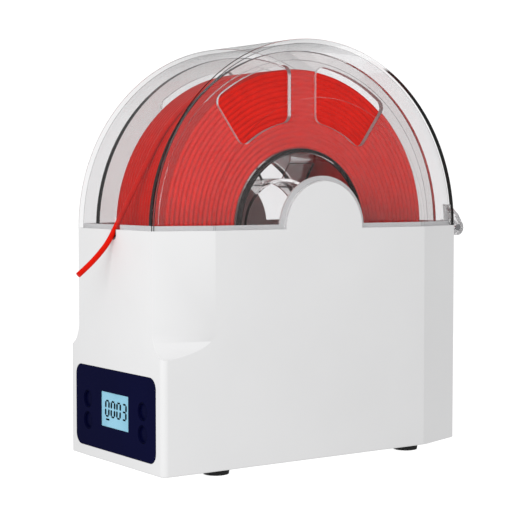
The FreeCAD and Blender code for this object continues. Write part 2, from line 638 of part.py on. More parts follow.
# ---------------------------------------------------------------- heater
def heater():
    screws = []
    for side, sign in (("left", -1), ("right", 1)):
        ends = [f"{sign} * heater_inner", f"{sign} * heater_outer"][::sign]
        body = new_body(f"heater_{side}")
        plate = sketch(body, f"heater_{side}_outline", "XY_Plane", "heater_low")
        rectangle(plate, ends, ("-heater_half_y", "heater_half_y"))
        pad(body, f"heater_{side}_plate", plate, "heater_thick")
        fins = sketch(body, f"heater_{side}_fins", "XY_Plane", "heater_low + heater_thick")
        for step in range(4):
            centre = f"{sign} * (heater_inner + fin_start + fin_pitch * {step})"
            rectangle(fins, (f"{centre} - fin_half", f"{centre} + fin_half"),
                      ("-film_half_y", "film_half_y"))
        pad(body, f"heater_{side}_fin_pads", fins, "fin_height")
        holes = sketch(body, f"heater_{side}_holes", "XY_Plane")
        corners = heater_corners()[:4] if side == "left" else heater_corners()[4:]
        for number, (x, y) in enumerate(corners):
            circle(holes, "pilot_radius", x, y)
            top = "heater_low + heater_thick"
            screws.append(screw(f"heater_{side}_screw_{number}", "z", "heater_head",
                                (top, f"{top} + heater_head_thick"), "pilot_radius",
                                ("heater_low - heater_grip", top), (x, y)))
        pocket(body, f"heater_{side}_hole_cuts", holes)
        piece(f"heater_plate_{side}", body)
        film = box(f"film_{side}", [f"{sign} * (heater_inner + film_margin)",
                                    f"{sign} * (heater_outer - film_margin)"][::sign],
                   ("-film_half_y", "film_half_y"), ("heater_low - film_thick", "heater_low"))
        piece(f"heater_film_{side}", group(f"film_{side}_set", film))
    piece("heater_screws", group("heater_screw_set", *screws))


# ---------------------------------------------------------------- control panel and electronics
FACE = "-body_length / 2"
BACK = "wall + rim_back - body_length / 2"
BUTTONS = {
    "heat": ("-button_x", "button_high"),
    "time": ("-button_x", "button_low"),
    "mode": ("button_x", "button_high"),
    "tare": ("button_x", "button_low"),
}
WIRE_PLUGS = {"power": (44.4, 2.6), "heater_right": (30, 4), "cell": (-8, 4),
              "heater_left": (-30, 4)}
# blocks on the main board: span across, height off the board, span upwards
BOARD_BLOCKS = {"sensor_plug": (("15", "25"), 5, ("42", "48")), "chip": (("-8", "6"), 1.8, ("28", "40"))}
CAPACITOR_AT = ("-20", "34")
HEADER_X = ("8", "22")
HEADER_Z = ("24", "26.6")
SENSOR_X = ("12", "28")
SENSOR_Y = ("-96", "-84")
BOARD_POSTS = [(x + "board_post_x", z) for x in SIDES.values()
               for z in ("board_post_low", "board_post_high")]


def control_panel():
    body = new_body("panel")
    face = sketch(body, "panel_face", "XZ_Plane", "body_length / 2 - wall")
    rectangle(face, ("-panel_width / 2", "panel_width / 2"),
              ("panel_z - panel_height / 2", "panel_z + panel_height / 2"))
    pad(body, "panel_plate", face, "wall")
    rounded(body, "panel_rounding", "panel_round", lambda middle, way: abs(way.y) > 0.9)
    back = sketch(body, "panel_back", "XZ_Plane", "body_length / 2 - wall")
    rectangle(back, ("-rim_back_x", "rim_back_x"), ("panel_z - rim_back_z", "panel_z + rim_back_z"))
    pad(body, "panel_rim", back, "rim_back", True)
    posts = sketch(body, "board_posts", "XZ_Plane", "board_y")
    post_holes = sketch(body, "board_post_holes", "XZ_Plane", "board_y")
    for x, z in BOARD_POSTS:
        circle(posts, "post_board_radius", x, z)
        circle(post_holes, "post_screw_radius", x, z)
    pad(body, "board_post_pads", posts, "body_length / 2 - wall - rim_back - board_y")
    pocket(body, "board_post_cuts", post_holes, "board_post_bore", True)
    openings = sketch(body, "panel_openings", "XZ_Plane")
    rectangle(openings, ("-lcd_width / 2", "lcd_width / 2"),
              ("lcd_z - lcd_height / 2", "lcd_z + lcd_height / 2"))
    for x, z in BUTTONS.values():
        circle(openings, "button_hole", x, z)
    pocket(body, "panel_opening_cuts", openings)
    screw_holes = sketch(body, "rim_screw_holes", "XZ_Plane")
    corners = [(f"{x}panel_screw_x", f"panel_z + {z}panel_screw_z") for x in SIDES.values()
               for z in SIDES.values()]
    for x, z in corners:
        circle(screw_holes, "panel_screw_radius", x, z)
    pocket(body, "rim_screw_cuts", screw_holes)
    piece("control_panel", body)

    screws = [screw(f"panel_screw_{number}", "y", "panel_head",
                    (BACK, f"{BACK} + panel_head_thick"), "panel_screw_radius",
                    ("panel_screw_tip - body_length / 2", BACK), at)
              for number, at in enumerate(corners)]
    piece("panel_screws", group("panel_screw_set", *screws))


def buttons():
    for name, (x, z) in BUTTONS.items():
        body = new_body(f"button_{name}")
        profile = sketch(body, f"button_{name}_profile", "YZ_Plane", x)
        bind(profile, AttachmentOffset__Base__y=z)
        collar = f"{BACK} + collar_gap"
        polygon(profile, [("button_sunk + button_dish - body_length / 2", "0"),
                          ("button_sunk - body_length / 2", "button_radius - button_rim"),
                          ("button_sunk - body_length / 2", "button_radius - button_bevel"),
                          ("button_sunk + button_bevel - body_length / 2", "button_radius"),
                          (collar, "button_radius"),
                          (collar, "button_collar"),
                          (f"{collar} + collar_thick", "button_collar"),
                          (f"{collar} + collar_thick", "button_stem"),
                          ("-button_stem_end", "button_stem"),
                          ("-button_stem_end", "0")])
        turned(body, "Revolution", f"button_{name}_turn", profile, "H_Axis", 360)
        piece(f"button_{name}", body)


def display():
    switches = []
    for name, (x, z) in BUTTONS.items():
        block = box(f"switch_{name}_block", (f"{x} - switch_half", f"{x} + switch_half"),
                    ("plunger_long - switch_face", "-board_y"),
                    (f"{z} - switch_half", f"{z} + switch_half"))
        plunger = rod(f"switch_{name}_plunger", "y", "plunger_radius",
                      ("-switch_face", "plunger_long - switch_face"), (x, z))
        switches.append(fuse(f"switch_{name}", block, plunger))
    piece("tact_switches", group("switch_set", *switches))
    lens = box("lens", ("-lcd_width / 2", "lcd_width / 2"), (FACE, f"{FACE} + window_thick"),
               ("lcd_z - lcd_height / 2", "lcd_z + lcd_height / 2"))
    piece("lcd_window", group("lens_set", lens))
    glass = box("lcd_glass", ("fit_gap - lcd_width / 2", "lcd_width / 2 - fit_gap"),
                (f"{FACE} + window_thick + lcd_gap", "-board_y"),
                ("lcd_z - lcd_height / 2 + fit_gap", "lcd_z + lcd_height / 2 - fit_gap"))
    frame = box("lcd_frame", ("-lcd_width / 2 - lcd_border", "lcd_width / 2 + lcd_border"),
                (f"{BACK} + lcd_frame_gap", "-board_y"),
                ("lcd_z - lcd_height / 2 - lcd_border", "lcd_z + lcd_height / 2 + lcd_border"))
    piece("lcd_module", fuse("lcd", glass, frame))

    board = box("display_plate", ("-board_half_x", "board_half_x"),
                ("-board_y", "board_thick - board_y"), ("board_low", "board_high"))
    holes = [rod(f"display_hole_{number}", "y", "post_screw_radius",
                 ("-board_y - cut_ahead", "board_thick - board_y + cut_ahead"), at)
             for number, at in enumerate(BOARD_POSTS)]
    piece("display_board", cut("display_pcb", board, *holes))
    rear = "board_thick - board_y"
    screws = [screw(f"display_screw_{number}", "y", "board_head",
                    (rear, f"{rear} + board_head_thick"), "post_screw_radius",
                    ("-board_y - board_grip", rear), at)
              for number, at in enumerate(BOARD_POSTS)]
    piece("display_screws", group("display_screw_set", *screws))


def main_board():
    posts = [(f"{x}main_post_x", z) for x in SIDES.values()
             for z in ("main_post_low", "main_post_high")]
    plate = box("main_plate", ("-main_half_x", "main_half_x"), ("-main_y", "board_thick - main_y"),
                ("main_low", "main_high"))
    holes = [rod(f"main_hole_{number}", "y", "post_screw_radius",
                 ("-main_y - cut_ahead", "board_thick - main_y + cut_ahead"), at)
             for number, at in enumerate(posts)]
    drilled = cut("main_pcb", plate, *holes)
    plugs = [box(f"plug_{name}", (f"{x} - {half}", f"{x} + {half}"),
                 ("-main_y - plug_size", "-main_y"), ("main_low", "main_low + plug_size"))
             for name, (x, half) in WIRE_PLUGS.items()]
    blocks = [box(name, x, (f"-main_y - {height}", "-main_y"), z)
              for name, (x, height, z) in BOARD_BLOCKS.items()]
    capacitor = rod("capacitor", "y", "capacitor_radius", ("-main_y - capacitor_height", "-main_y"),
                    CAPACITOR_AT)
    piece("main_board", fuse("main_assembly", drilled, *plugs, *blocks, capacitor))
    screws = [screw(f"main_screw_{number}", "y", "board_head",
                    ("-main_y - board_head_thick", "-main_y"), "post_screw_radius",
                    ("-main_y", "-bay_wall_y - bay_grip"), at)
              for number, at in enumerate(posts)]
    piece("main_board_screws", group("main_screw_set", *screws))
    piece("board_connector", group("header_set", box("header", HEADER_X,
          ("board_thick - board_y", "-main_y"), HEADER_Z)))

    wall = box("bay_wall", ("fit_gap + wall - body_width / 2", "body_width / 2 - wall - fit_gap"),
               ("-bay_wall_y - bay_plate", "-bay_wall_y"),
               ("cover_thick", "bay_ceiling - shelf_gap"))
    shelf = box("bay_shelf", ("fit_gap + wall - body_width / 2",
                "body_width / 2 - wall - fit_gap"), ("fit_gap + wall - body_length / 2",
                "-bay_wall_y"), ("bay_ceiling - shelf_gap - bay_plate", "bay_ceiling - shelf_gap"))
    stands = [rod(f"main_post_{number}", "y", "post_board_radius", ("board_thick - main_y",
                  "-bay_wall_y - bay_plate / 2"), at) for number, at in enumerate(posts)]
    bores = [rod(f"main_pilot_{number}", "y", "post_screw_radius",
                 ("-main_y", "-bay_wall_y - bay_grip"), at) for number, at in enumerate(posts)]
    passages = [rod(f"wire_hole_{x}", "y", "lead_hole",
                    ("-bay_wall_y - bay_plate - cut_ahead", "cut_ahead - bay_wall_y"),
                    (x, "lead_low")) for x, _ in WIRE_PLUGS.values()]
    sensor_hole = rod("sensor_bore", "z", "sensor_hole",
                      ("bay_ceiling - shelf_gap - bay_plate - cut_ahead", "bay_ceiling + cut_ahead"),
                      ("sensor_lead_x", "-sensor_lead_y"))
    piece("bay_cover", cut("bay_shell", fuse("bay_solid", wall, shelf, *stands), *bores,
                           *passages, sensor_hole))
    module = box("sensor_body", SENSOR_X, SENSOR_Y,
                 ("bay_ceiling - shelf_gap", "bay_ceiling - shelf_gap + sensor_thick"))
    piece("humidity_sensor", group("sensor_set", module))


def power_inlet():
    at = ("jack_x", "jack_z")
    barrel = rod("jack_barrel", "y", "jack_radius", ("jack_back", "body_length / 2"), at)
    collar = rod("jack_collar", "y", "jack_flange",
                 ("body_length / 2", "body_length / 2 + jack_flange_thick"), at)
    shell = fuse("jack_shell", barrel, collar)
    socket = rod("jack_socket", "y", "jack_bore", ("body_length / 2 - jack_depth",
                 "body_length / 2 + jack_flange_thick + cut_ahead"), at)
    pin = rod("jack_contact", "y", "jack_pin", ("body_length / 2 - jack_depth",
              "body_length / 2 - jack_pin_sunk"), at)
    piece("dc_jack", fuse("jack", cut("jack_hollow", shell, socket), pin))
    body = new_body("jack_nut")
    hexagon = sketch(body, "nut_outline", "XZ_Plane", "wall - body_length / 2")
    corner = "(jack_radius + nut_margin)"
    polygon(hexagon, [(f"jack_x + {corner} * cos({60 * step})",
                       f"jack_z + {corner} * sin({60 * step})") for step in range(6)])
    pad(body, "nut_pad", hexagon, "nut_thick")
    bore = sketch(body, "nut_bore", "XZ_Plane")
    pocket(body, "nut_bore_cut", circle(bore, "jack_radius", "jack_x", "jack_z"))
    piece("dc_jack_nut", body)


# ---------------------------------------------------------------- lid
# the arm from the lid's rear wall round the hinge pin: distances behind and above the pin
ARM_PROFILE = [(-6.2, 1.7), (-4.7, 1.7), (-4.4, 0), (0, 0), (4, 2.4), (0.6, 8), (-6, 14), (-6.5, 11)]


def lid():
    body = new_body("lid")
    for name, kind, inset in (("lid_dome", "Revolution", "0"), ("lid_cavity", "Groove", "lid_wall")):
        before = solid_volume(body) if kind == "Groove" else 0
        right, corner = outline(inset)[:2]
        drawing = sketch(body, name + "_outline", "XY_Plane", "seam_height")
        polygon(drawing, [(f"-({right[0]})", "0"), (right[0], "0"), right, corner,
                          (f"-({corner[0]})", corner[1]), (f"-({right[0]})", right[1])])
        turned(body, kind, name, drawing, "H_Axis", 180)
    if solid_volume(body) > before / 2:
        raise RuntimeError("the lid is not hollow")
    sides = sketch(body, "tab_cutouts", "YZ_Plane")
    pocket(body, "tab_cuts", circle(sides, "tab_radius + tab_gap", "0", "seam_height"))
    notch = sketch(body, "lid_notch", "XZ_Plane", "body_length / 2 - 2 * lid_wall")
    rectangle(notch, ("-notch_width / 2", "notch_width / 2"),
              ("seam_height - cut_ahead", "seam_height + lid_notch_height"))
    pocket(body, "lid_notch_cut", notch, "3 * lid_wall", True)

    arm = sketch(body, "arm_profile", "YZ_Plane", "knuckle_start")
    polygon(arm, [(f"pin_y + ({out})", f"pin_z + {up}") for out, up in ARM_PROFILE])
    arm_pad = pad(body, "arm", arm, "knuckle_end - knuckle_start")
    ring = sketch(body, "knuckle_ring", "YZ_Plane", "knuckle_start")
    ring_pad = pad(body, "knuckle", circle(ring, "knuckle_radius", "pin_y", "pin_z"),
                   "knuckle_end - knuckle_start")
    mirrored(body, "knuckle_mirror", [arm_pad, ring_pad], "YZ_Plane")
    bore = sketch(body, "knuckle_bore", "YZ_Plane")
    pocket(body, "knuckle_bore_cut", circle(bore, "pin_radius + pin_play", "pin_y", "pin_z"))
    piece("lid_shell", body)
    for side, sign in (("left", -1), ("right", 1)):
        span = [f"{sign} * lug_start", f"{sign} * pin_end"][::sign]
        pin = rod(f"pin_{side}", "x", "pin_radius", span, ("pin_y", "pin_z"))
        piece(f"hinge_pin_{side}", group(f"pin_{side}_set", pin))


# ---------------------------------------------------------------- spool and filament
def ring(name, outer, inner, span):
    at = ("0", "seam_height")
    return cut(name, rod(name + "_outer", "x", outer, span, at),
               rod(name + "_inner", "x", inner, span, at))


def mirror_of(source, normal):
    item = new("Part::Mirroring", source.Name + "_mirror")
    item.Source = source
    item.Normal = normal
    bind(item, Base__z="seam_height")
    return item


def flange(side, sign):
    """A clear disc with a raised rim and four windows, two each side of a straight spoke."""
    outer_face = f"{sign} * spool_width / 2"
    inner_face = f"{sign} * (spool_width / 2 - flange_thick)"
    span = [inner_face, outer_face][::sign]
    rim_span = [f"{sign} * (spool_width / 2 - flange_thick - rim_thick)", outer_face][::sign]
    disc = ring(f"disc_{side}", "flange_radius", "hub_radius - hub_wall", span)
    rim = ring(f"rim_{side}", "flange_radius", "flange_radius - rim_width", rim_span)
    band = ring(f"window_band_{side}", "window_outer", "window_inner", span)
    body = new_body(f"wedge_{side}")
    wedge = sketch(body, f"wedge_{side}_outline", "YZ_Plane", span[0])
    reach = "(2 * window_outer)"
    polygon(wedge, [("spoke_half", "seam_height"), (f"{reach} * sin(window_angle)",
                    f"seam_height + {reach} * cos(window_angle)"),
                    ("spoke_half", f"seam_height + {reach}")])
    pad(body, f"wedge_{side}_pad", wedge, "flange_thick")
    window = new("Part::Common", f"window_{side}")
    window.Base = band
    window.Tool = body
    doc.recompute()
    soft = new("Part::Fillet", f"soft_window_{side}")
    soft.Base = window
    radius = DIMENSIONS["window_round"]
    soft.Edges = [(number, radius, radius) for number, edge in enumerate(window.Shape.Edges, 1)
                  if isinstance(edge.Curve, Part.Line) and abs(edge.Curve.Direction.x) > 0.9]
    pair = fuse(f"window_pair_{side}", soft, mirror_of(soft, Vector(0, 1, 0)))
    whole = fuse(f"disc_{side}_rimmed", disc, rim)
    piece(f"spool_flange_{side}", cut(f"flange_{side}", whole, pair,
                                      mirror_of(pair, Vector(0, 0, 1))))


def spool():
    flange("left", -1)
    flange("right", 1)
    inner = "spool_width / 2 - flange_thick"
    tube_wall = ring("hub_tube", "hub_radius", "hub_radius - hub_wall", (f"-({inner})", inner))
    spindle = ring("hub_spindle", "spindle_radius", "spindle_radius - spindle_wall",
                   ("-rib_half", "rib_half"))
    ribs = []
    for step in range(6):
        rib = new("Part::Box", f"hub_rib_{step}")
        rib.Placement = Placement(Vector(), Rotation(Vector(1, 0, 0), 60 * step + 30))
        bind(rib, Length="2 * rib_half", Width="rib_thick",
             Height="hub_radius - hub_wall / 2 - spindle_radius + spindle_wall / 2",
             Placement__Base__x="-rib_half",
             Placement__Base__y=f"-(spindle_radius - spindle_wall / 2) * sin({60 * step + 30})"
                                f" - rib_thick / 2 * cos({60 * step + 30})",
             Placement__Base__z=f"seam_height + (spindle_radius - spindle_wall / 2)"
                                f" * cos({60 * step + 30}) - rib_thick / 2 * sin({60 * step + 30})")
        ribs.append(rib)
    piece("spool_hub", fuse("hub", tube_wall, spindle, *ribs))
    wound = f"{inner} - rim_thick - 0.1"
    piece("filament_winding", ring("winding", "wound_radius", "hub_radius",
                                   (f"-({wound})", wound)))


FIRST_RUN = 6  # straight beyond the notch, before the loose end droops
TAIL = [(0, -115.2, 115.6), (0, -121.8, 109.5), (0, -128.0, 104.8)]


def filament():
    """The strand leaves the winding on a tangent and runs straight out through the notch."""
    size = DIMENSIONS
    leave = Vector(0, -size["exit_y"], size["exit_z"])
    centre = Vector(0, 0, size["seam_height"])
    reach = (leave - centre).Length
    wrap = size["wound_radius"] + size["strand_radius"] + size["strand_gap"]
    rise = math.acos(wrap / reach) + math.asin((leave.z - centre.z) / reach)
    tangent = centre + Vector(0, -wrap * math.cos(rise), wrap * math.sin(rise))
    strand = Part.makeCylinder(size["strand_radius"], (leave - tangent).Length, tangent,
                               leave - tangent)
    inner = new("Part::Feature", "strand_rod")
    inner.Shape = strand
    piece("filament_strand", inner)
    first_run = leave + (leave - tangent).normalize() * FIRST_RUN
    lead("filament_tail", [[tuple(leave), tuple(first_run), *TAIL]], size["strand_radius"])

    span = ("-body_length / 2", "wall + lip_wall - body_length / 2")
    low = "notch_bottom + notch_width / 2"
    outer = fuse("guide_outer", rod("guide_round", "y", "notch_width / 2", span, ("0", low)),
                 box("guide_block", ("-notch_width / 2", "notch_width / 2"), span,
                     (low, "seam_height")))
    hole = fuse("guide_hole", rod("guide_bore", "y", "notch_width / 2 - guide_wall", span,
                ("0", low)), box("guide_slot", ("guide_wall - notch_width / 2",
                "notch_width / 2 - guide_wall"), span, (low, "seam_height")))
    piece("filament_guide", cut("guide", outer, hole))


def leads():
    """Each lead runs low through the bay's wall and up into its plug on the main board."""
    low = DIMENSIONS["lead_low"]
    top = DIMENSIONS["main_low"]
    thick = {kind: DIMENSIONS[f"{kind}_lead_radius"] for kind in ("power", "heater", "signal")}
    turn = -DIMENSIONS["main_y"] - DIMENSIONS["lead_to_board"]
    power, right, cell, left = [x for x, _ in WIRE_PLUGS.values()]
    lead("power_lead", [[(28, 92, 14), (28, 82, 14), (40, 70, 7), (power, 56, low),
                         (power, turn, low), (power, turn, top)]], thick["power"])
    lead("heater_leads", [[(side * 26, -46, 8.7), (side * 26, -60, 8.7), (x, -70, low),
                           (x, turn, low), (x, turn, top)]
                          for side, x in ((-1, left), (1, right))], thick["heater"])
    lead("load_cell_lead", [[(0, -37.5, 9), (0, -50, 9), (cell, -66, low), (cell, turn, low),
                             (cell, turn, top)]], thick["signal"])
    lead("sensor_lead", [[(20, -88, 56.7), (20, -88, 48)]], thick["signal"])


def export():
    doc.recompute()
    for item in doc.Objects:
        if "Invalid" in item.State or "Error" in item.State:
            raise RuntimeError(f"{item.Name} is {item.State}")
    os.makedirs("parts", exist_ok=True)
    for item in pieces:
        shape = item.Shape
        if shape.isNull() or not shape.isValid() or not shape.Solids:
            raise RuntimeError(f"{item.Label} has no valid solid")
        shape.exportStep(f"parts/{item.Label}.step")
    print(f"{len(pieces)} sub-parts")


base_housing()
bottom_cover()
bottom_fasteners()
load_cell()
roller_cradle()
rollers()
heater()
control_panel()
buttons()
display()
main_board()
power_inlet()
lid()
spool()
filament()
leads()
export()
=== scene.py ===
"""Looks of the filament dryer box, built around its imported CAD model.

Everything is in metres, in the model's own frame: X across the box, Y from the control panel to
the hinge, Z up, and the floor at z = 0. Lengths are written in millimetres times MM.
"""
import json
import math

import bmesh
import bpy
from mathutils import Matrix, Vector

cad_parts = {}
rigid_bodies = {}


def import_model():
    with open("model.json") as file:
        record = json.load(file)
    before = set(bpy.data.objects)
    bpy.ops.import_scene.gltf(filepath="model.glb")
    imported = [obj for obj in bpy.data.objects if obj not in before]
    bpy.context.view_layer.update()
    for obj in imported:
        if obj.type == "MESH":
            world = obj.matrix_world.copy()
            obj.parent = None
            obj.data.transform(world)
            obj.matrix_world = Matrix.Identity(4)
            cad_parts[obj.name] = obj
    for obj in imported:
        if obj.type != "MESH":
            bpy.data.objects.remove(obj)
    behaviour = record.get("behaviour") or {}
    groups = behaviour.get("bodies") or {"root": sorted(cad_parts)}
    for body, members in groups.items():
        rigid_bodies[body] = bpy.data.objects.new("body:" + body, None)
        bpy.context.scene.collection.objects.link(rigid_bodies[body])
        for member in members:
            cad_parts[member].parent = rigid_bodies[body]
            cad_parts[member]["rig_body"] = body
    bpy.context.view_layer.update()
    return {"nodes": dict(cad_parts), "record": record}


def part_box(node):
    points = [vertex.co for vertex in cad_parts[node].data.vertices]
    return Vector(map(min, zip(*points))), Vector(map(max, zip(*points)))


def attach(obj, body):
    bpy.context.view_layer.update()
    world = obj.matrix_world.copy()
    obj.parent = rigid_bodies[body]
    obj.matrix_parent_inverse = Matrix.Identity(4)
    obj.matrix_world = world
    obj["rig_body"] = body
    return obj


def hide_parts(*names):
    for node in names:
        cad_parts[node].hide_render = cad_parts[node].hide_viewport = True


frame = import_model()

MM = 0.001
SCENE = bpy.context.scene
SLOTS = {part["node"]: part["material_slot"] for part in frame["record"]["subparts"]}


# ---------------------------------------------------------------- the model's own sizes
def middle(node):
    low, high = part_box(node)
    return (low + high) / 2


def radius_of(node):
    """Of a round part whose axis lies level."""
    low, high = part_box(node)
    return (high.z - low.z) / 2


SPOOL_CENTRE = middle("filament_winding")
WOUND_RADIUS = radius_of("filament_winding")
WOUND_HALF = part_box("filament_winding")[1].x
HUB_RADIUS = radius_of("spool_hub")
FLANGE_RADIUS = radius_of("spool_flange_left")
STRAND_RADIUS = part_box("filament_strand")[1].x
LCD_LOW, LCD_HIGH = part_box("lcd_window")


# ---------------------------------------------------------------- camera
VIEW_AZIMUTH = math.radians(55.13)
VIEW_ELEVATION = math.radians(2.92)
VIEW_DISTANCE = 878.2 * MM
VIEW_AIM = Vector((-2.76, -11.66, 112.31)) * MM
VIEW_LENS = 103.75   # millimetres
VIEW_SENSOR = 36     # millimetres across
VIEW_NEAR = 10 * MM


def direction(azimuth, elevation):
    """From the object towards a viewer; azimuth 0 stands in front of the control panel."""
    flat = math.cos(elevation)
    return Vector((math.sin(azimuth) * flat, -math.cos(azimuth) * flat, math.sin(elevation)))


def look(item, towards):
    item.rotation_mode = "QUATERNION"
    item.rotation_quaternion = towards.to_track_quat("-Z", "Y")


def make_camera():
    data = bpy.data.cameras.new("camera")
    data.lens = VIEW_LENS
    data.sensor_width = VIEW_SENSOR
    data.clip_start = VIEW_NEAR
    camera = bpy.data.objects.new("camera", data)
    SCENE.collection.objects.link(camera)
    back = direction(VIEW_AZIMUTH, VIEW_ELEVATION)
    camera.location = VIEW_AIM + back * VIEW_DISTANCE
    look(camera, -back)
    SCENE.camera = camera


# ---------------------------------------------------------------- mesh helpers
WELD = 0.002 * MM                     # packed vertices closer than this are one
FLAT = math.radians(0.4)              # triangles that meet at less than this are one face


def body_of(node):
    return frame["nodes"][node]["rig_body"]


def mesh_of(name, shape):
    """The finished mesh of a bmesh, which is used up."""
    mesh = bpy.data.meshes.new(name)
    shape.to_mesh(mesh)
    shape.free()
    return mesh


def welded(data):
    """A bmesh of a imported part, whose triangles no longer share their corners."""
    shape = bmesh.new()
    shape.from_mesh(data)
    bmesh.ops.remove_doubles(shape, verts=shape.verts, dist=WELD)
    return shape


def add_object(name, data, body, slot, *replaced):
    item = bpy.data.objects.new(name, data)
    SCENE.collection.objects.link(item)
    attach(item, body)
    if replaced:
        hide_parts(*replaced)
    return item


def optical(item, sharp=12):
    """Shading for clear parts: every flat face keeps its own exact normal, so nothing ripples."""
    item.data.shade_smooth()
    item.data.set_sharp_from_angle(angle=math.radians(sharp))
    return item


def solid_look(item, sharp):
    """Smooth shading that keeps flat faces flat and corners above `sharp` degrees crisp."""
    optical(item, sharp)
    weighted = item.modifiers.new("even_normals", "WEIGHTED_NORMAL")
    weighted.keep_sharp = True
    return item


def moulded(node, name, edge, segments=2, corner=28):
    """A copy of a CAD part with its triangles merged into clean faces and its edges rounded."""
    shape = welded(frame["nodes"][node].data)
    bmesh.ops.dissolve_limit(shape, angle_limit=FLAT, verts=shape.verts, edges=shape.edges,
                             delimit={"SHARP"})
    edges = [item for item in shape.edges
             if len(item.link_faces) == 2 and item.calc_face_angle() > math.radians(corner)]
    bmesh.ops.bevel(shape, geom=edges, offset=edge, segments=segments, profile=0.5,
                    affect="EDGES", clamp_overlap=True)
    item = add_object(name, mesh_of(name, shape), body_of(node), SLOTS[node], node)
    return optical(item) if SLOTS[node].startswith("clear") else solid_look(item, 15)


def combined(item, other, operation):
    """Add or cut another solid, which is used up."""
    step = item.modifiers.new("combine", "BOOLEAN")
    step.object = other
    step.operation = operation
    step.solver = "EXACT"
    bpy.context.view_layer.update()
    ready = item.evaluated_get(bpy.context.evaluated_depsgraph_get())
    mesh = bpy.data.meshes.new_from_object(ready)
    item.modifiers.clear()
    item.data = mesh
    bpy.data.objects.remove(other)
    return item


def loose(name, mesh):
    item = bpy.data.objects.new(name, mesh)
    SCENE.collection.objects.link(item)
    return item


def block(low, high):
    """A box between two corners, to cut or keep part of another solid."""
    shape = bmesh.new()
    bmesh.ops.create_cube(shape, size=1)
    size = Vector(high) - Vector(low)
    for corner in shape.verts:
        corner.co = Vector(low) + Vector(part * (unit + 0.5)
                                         for part, unit in zip(size, corner.co))
    return loose("block", mesh_of("block", shape))


def bridge(shape, rings, closed):
    """Faces between neighbouring rings of vertices, and from the last to the first if closed."""
    count = len(rings[0])
    for before, after in zip(rings, rings[1:] + rings[:1] if closed else rings[1:]):
        for index in range(count):
            following = (index + 1) % count
            shape.faces.new((before[index], after[index], after[following], before[following]))


def lathe(name, profile, centre, steps, sweep=2 * math.pi):
    """Turn a closed profile of (x, radius) points round the spool's axis, from the front over
    the top."""
    whole = sweep == 2 * math.pi
    shape = bmesh.new()
    rings = []
    for step in range(steps if whole else steps + 1):
        angle = sweep * step / steps
        rings.append([shape.verts.new((centre.x + x, centre.y - radius * math.cos(angle),
                                       centre.z + radius * math.sin(angle)))
                      for x, radius in profile])
    bridge(shape, rings, whole)
    if not whole:
        shape.faces.new(rings[0])
        shape.faces.new(rings[-1][::-1])
    bmesh.ops.recalc_face_normals(shape, faces=shape.faces)
    return mesh_of(name, shape)


def filleted(points, radius, steps=5):
    """The corners of a closed outline, each replaced by an arc. A radius of 0 keeps a corner."""
    for index, corner in enumerate(points):
        size = radius[index]
        if not size:
            yield tuple(corner)
            continue
        before = (points[index - 1] - corner).normalized()
        after = (points[(index + 1) % len(points)] - corner).normalized()
        half = before.angle(after) / 2
        centre = corner + (before + after).normalized() * size / math.sin(half)
        start = corner + before * size / math.tan(half) - centre
        end = corner + after * size / math.tan(half) - centre
        for step in range(steps + 1):
            share = step / steps
            arm = start.slerp(end, share) if share not in (0, 1) else (start, end)[int(share)]
            yield tuple(centre + arm.normalized() * size)


# ---------------------------------------------------------------- material nodes
# The lid's creases are painted near black at both ends, a painted dark refraction.
FRONT_PAINTED_DARK = (-50 * MM, -25 * MM)   # the creases' painted dark fades out over this stretch of Y
REAR_PAINTED_DARK = (47 * MM, 51 * MM)      # and the painted dark comes back over this one


class Nodes:
    """A small hand for wiring one material's nodes."""

    def __init__(self, name):
        self.material = bpy.data.materials.new(name)
        self.material.use_nodes = True
        self.tree = self.material.node_tree
        self.shader = self.tree.nodes["Principled BSDF"]
        self.output = self.tree.nodes["Material Output"]
        self.place = self.node("ShaderNodeTexCoord").outputs["Object"]

    def node(self, kind, **values):
        made = self.tree.nodes.new(kind)
        for key, value in values.items():
            setattr(made, key, value)
        return made

    def link(self, source, target):
        self.tree.links.new(source, target)

    def put(self, **values):
        for key, value in values.items():
            self.shader.inputs[key.replace("_", " ")].default_value = value

    def stretched(self, scale):
        made = self.node("ShaderNodeMapping")
        made.inputs["Scale"].default_value = scale
        self.link(self.place, made.inputs["Vector"])
        return made.outputs["Vector"]

    def noise(self, scale, detail=3.0, place=None):
        made = self.node("ShaderNodeTexNoise")
        made.inputs["Scale"].default_value = scale
        made.inputs["Detail"].default_value = detail
        self.link(place or self.place, made.inputs["Vector"])
        return made.outputs["Fac"]

    def spread(self, value, low, high, start=0.3, end=0.7):
        made = self.node("ShaderNodeMapRange")
        for key, number in (("From Min", start), ("From Max", end), ("To Min", low),
                            ("To Max", high)):
            made.inputs[key].default_value = number
        self.link(value, made.inputs["Value"])
        return made.outputs["Result"]

    def backwards(self, start, end):
        """0 in front of Y = start, 1 behind Y = end."""
        parts = self.node("ShaderNodeSeparateXYZ")
        self.link(self.place, parts.inputs[0])
        return self.spread(parts.outputs["Y"], 0, 1, start, end)

    def blend(self, share, first, second):
        made = self.node("ShaderNodeMix", data_type="RGBA")
        for key, value in (("A", first), ("B", second)):
            socket = next(item for item in made.inputs
                          if item.name == key and item.type == "RGBA")
            if isinstance(value, tuple):
                socket.default_value = (*value, 1)
            else:
                self.link(value, socket)
        self.link(share, made.inputs["Factor"])
        return next(item for item in made.outputs if item.type == "RGBA")

    def bump(self, height, depth, strength=1.0):
        made = self.node("ShaderNodeBump")
        made.inputs["Strength"].default_value = strength
        made.inputs["Distance"].default_value = depth
        self.link(height, made.inputs["Height"])
        self.link(made.outputs["Normal"], self.shader.inputs["Normal"])


# ---------------------------------------------------------------- kinds of material
def tone(red, green, blue):
    """A display colour, 0 to 255, as the linear one that shaders take."""
    return tuple((part / 255) ** 2.2 for part in (red, green, blue))


def shade(colour, share):
    return tuple(part * share for part in colour)


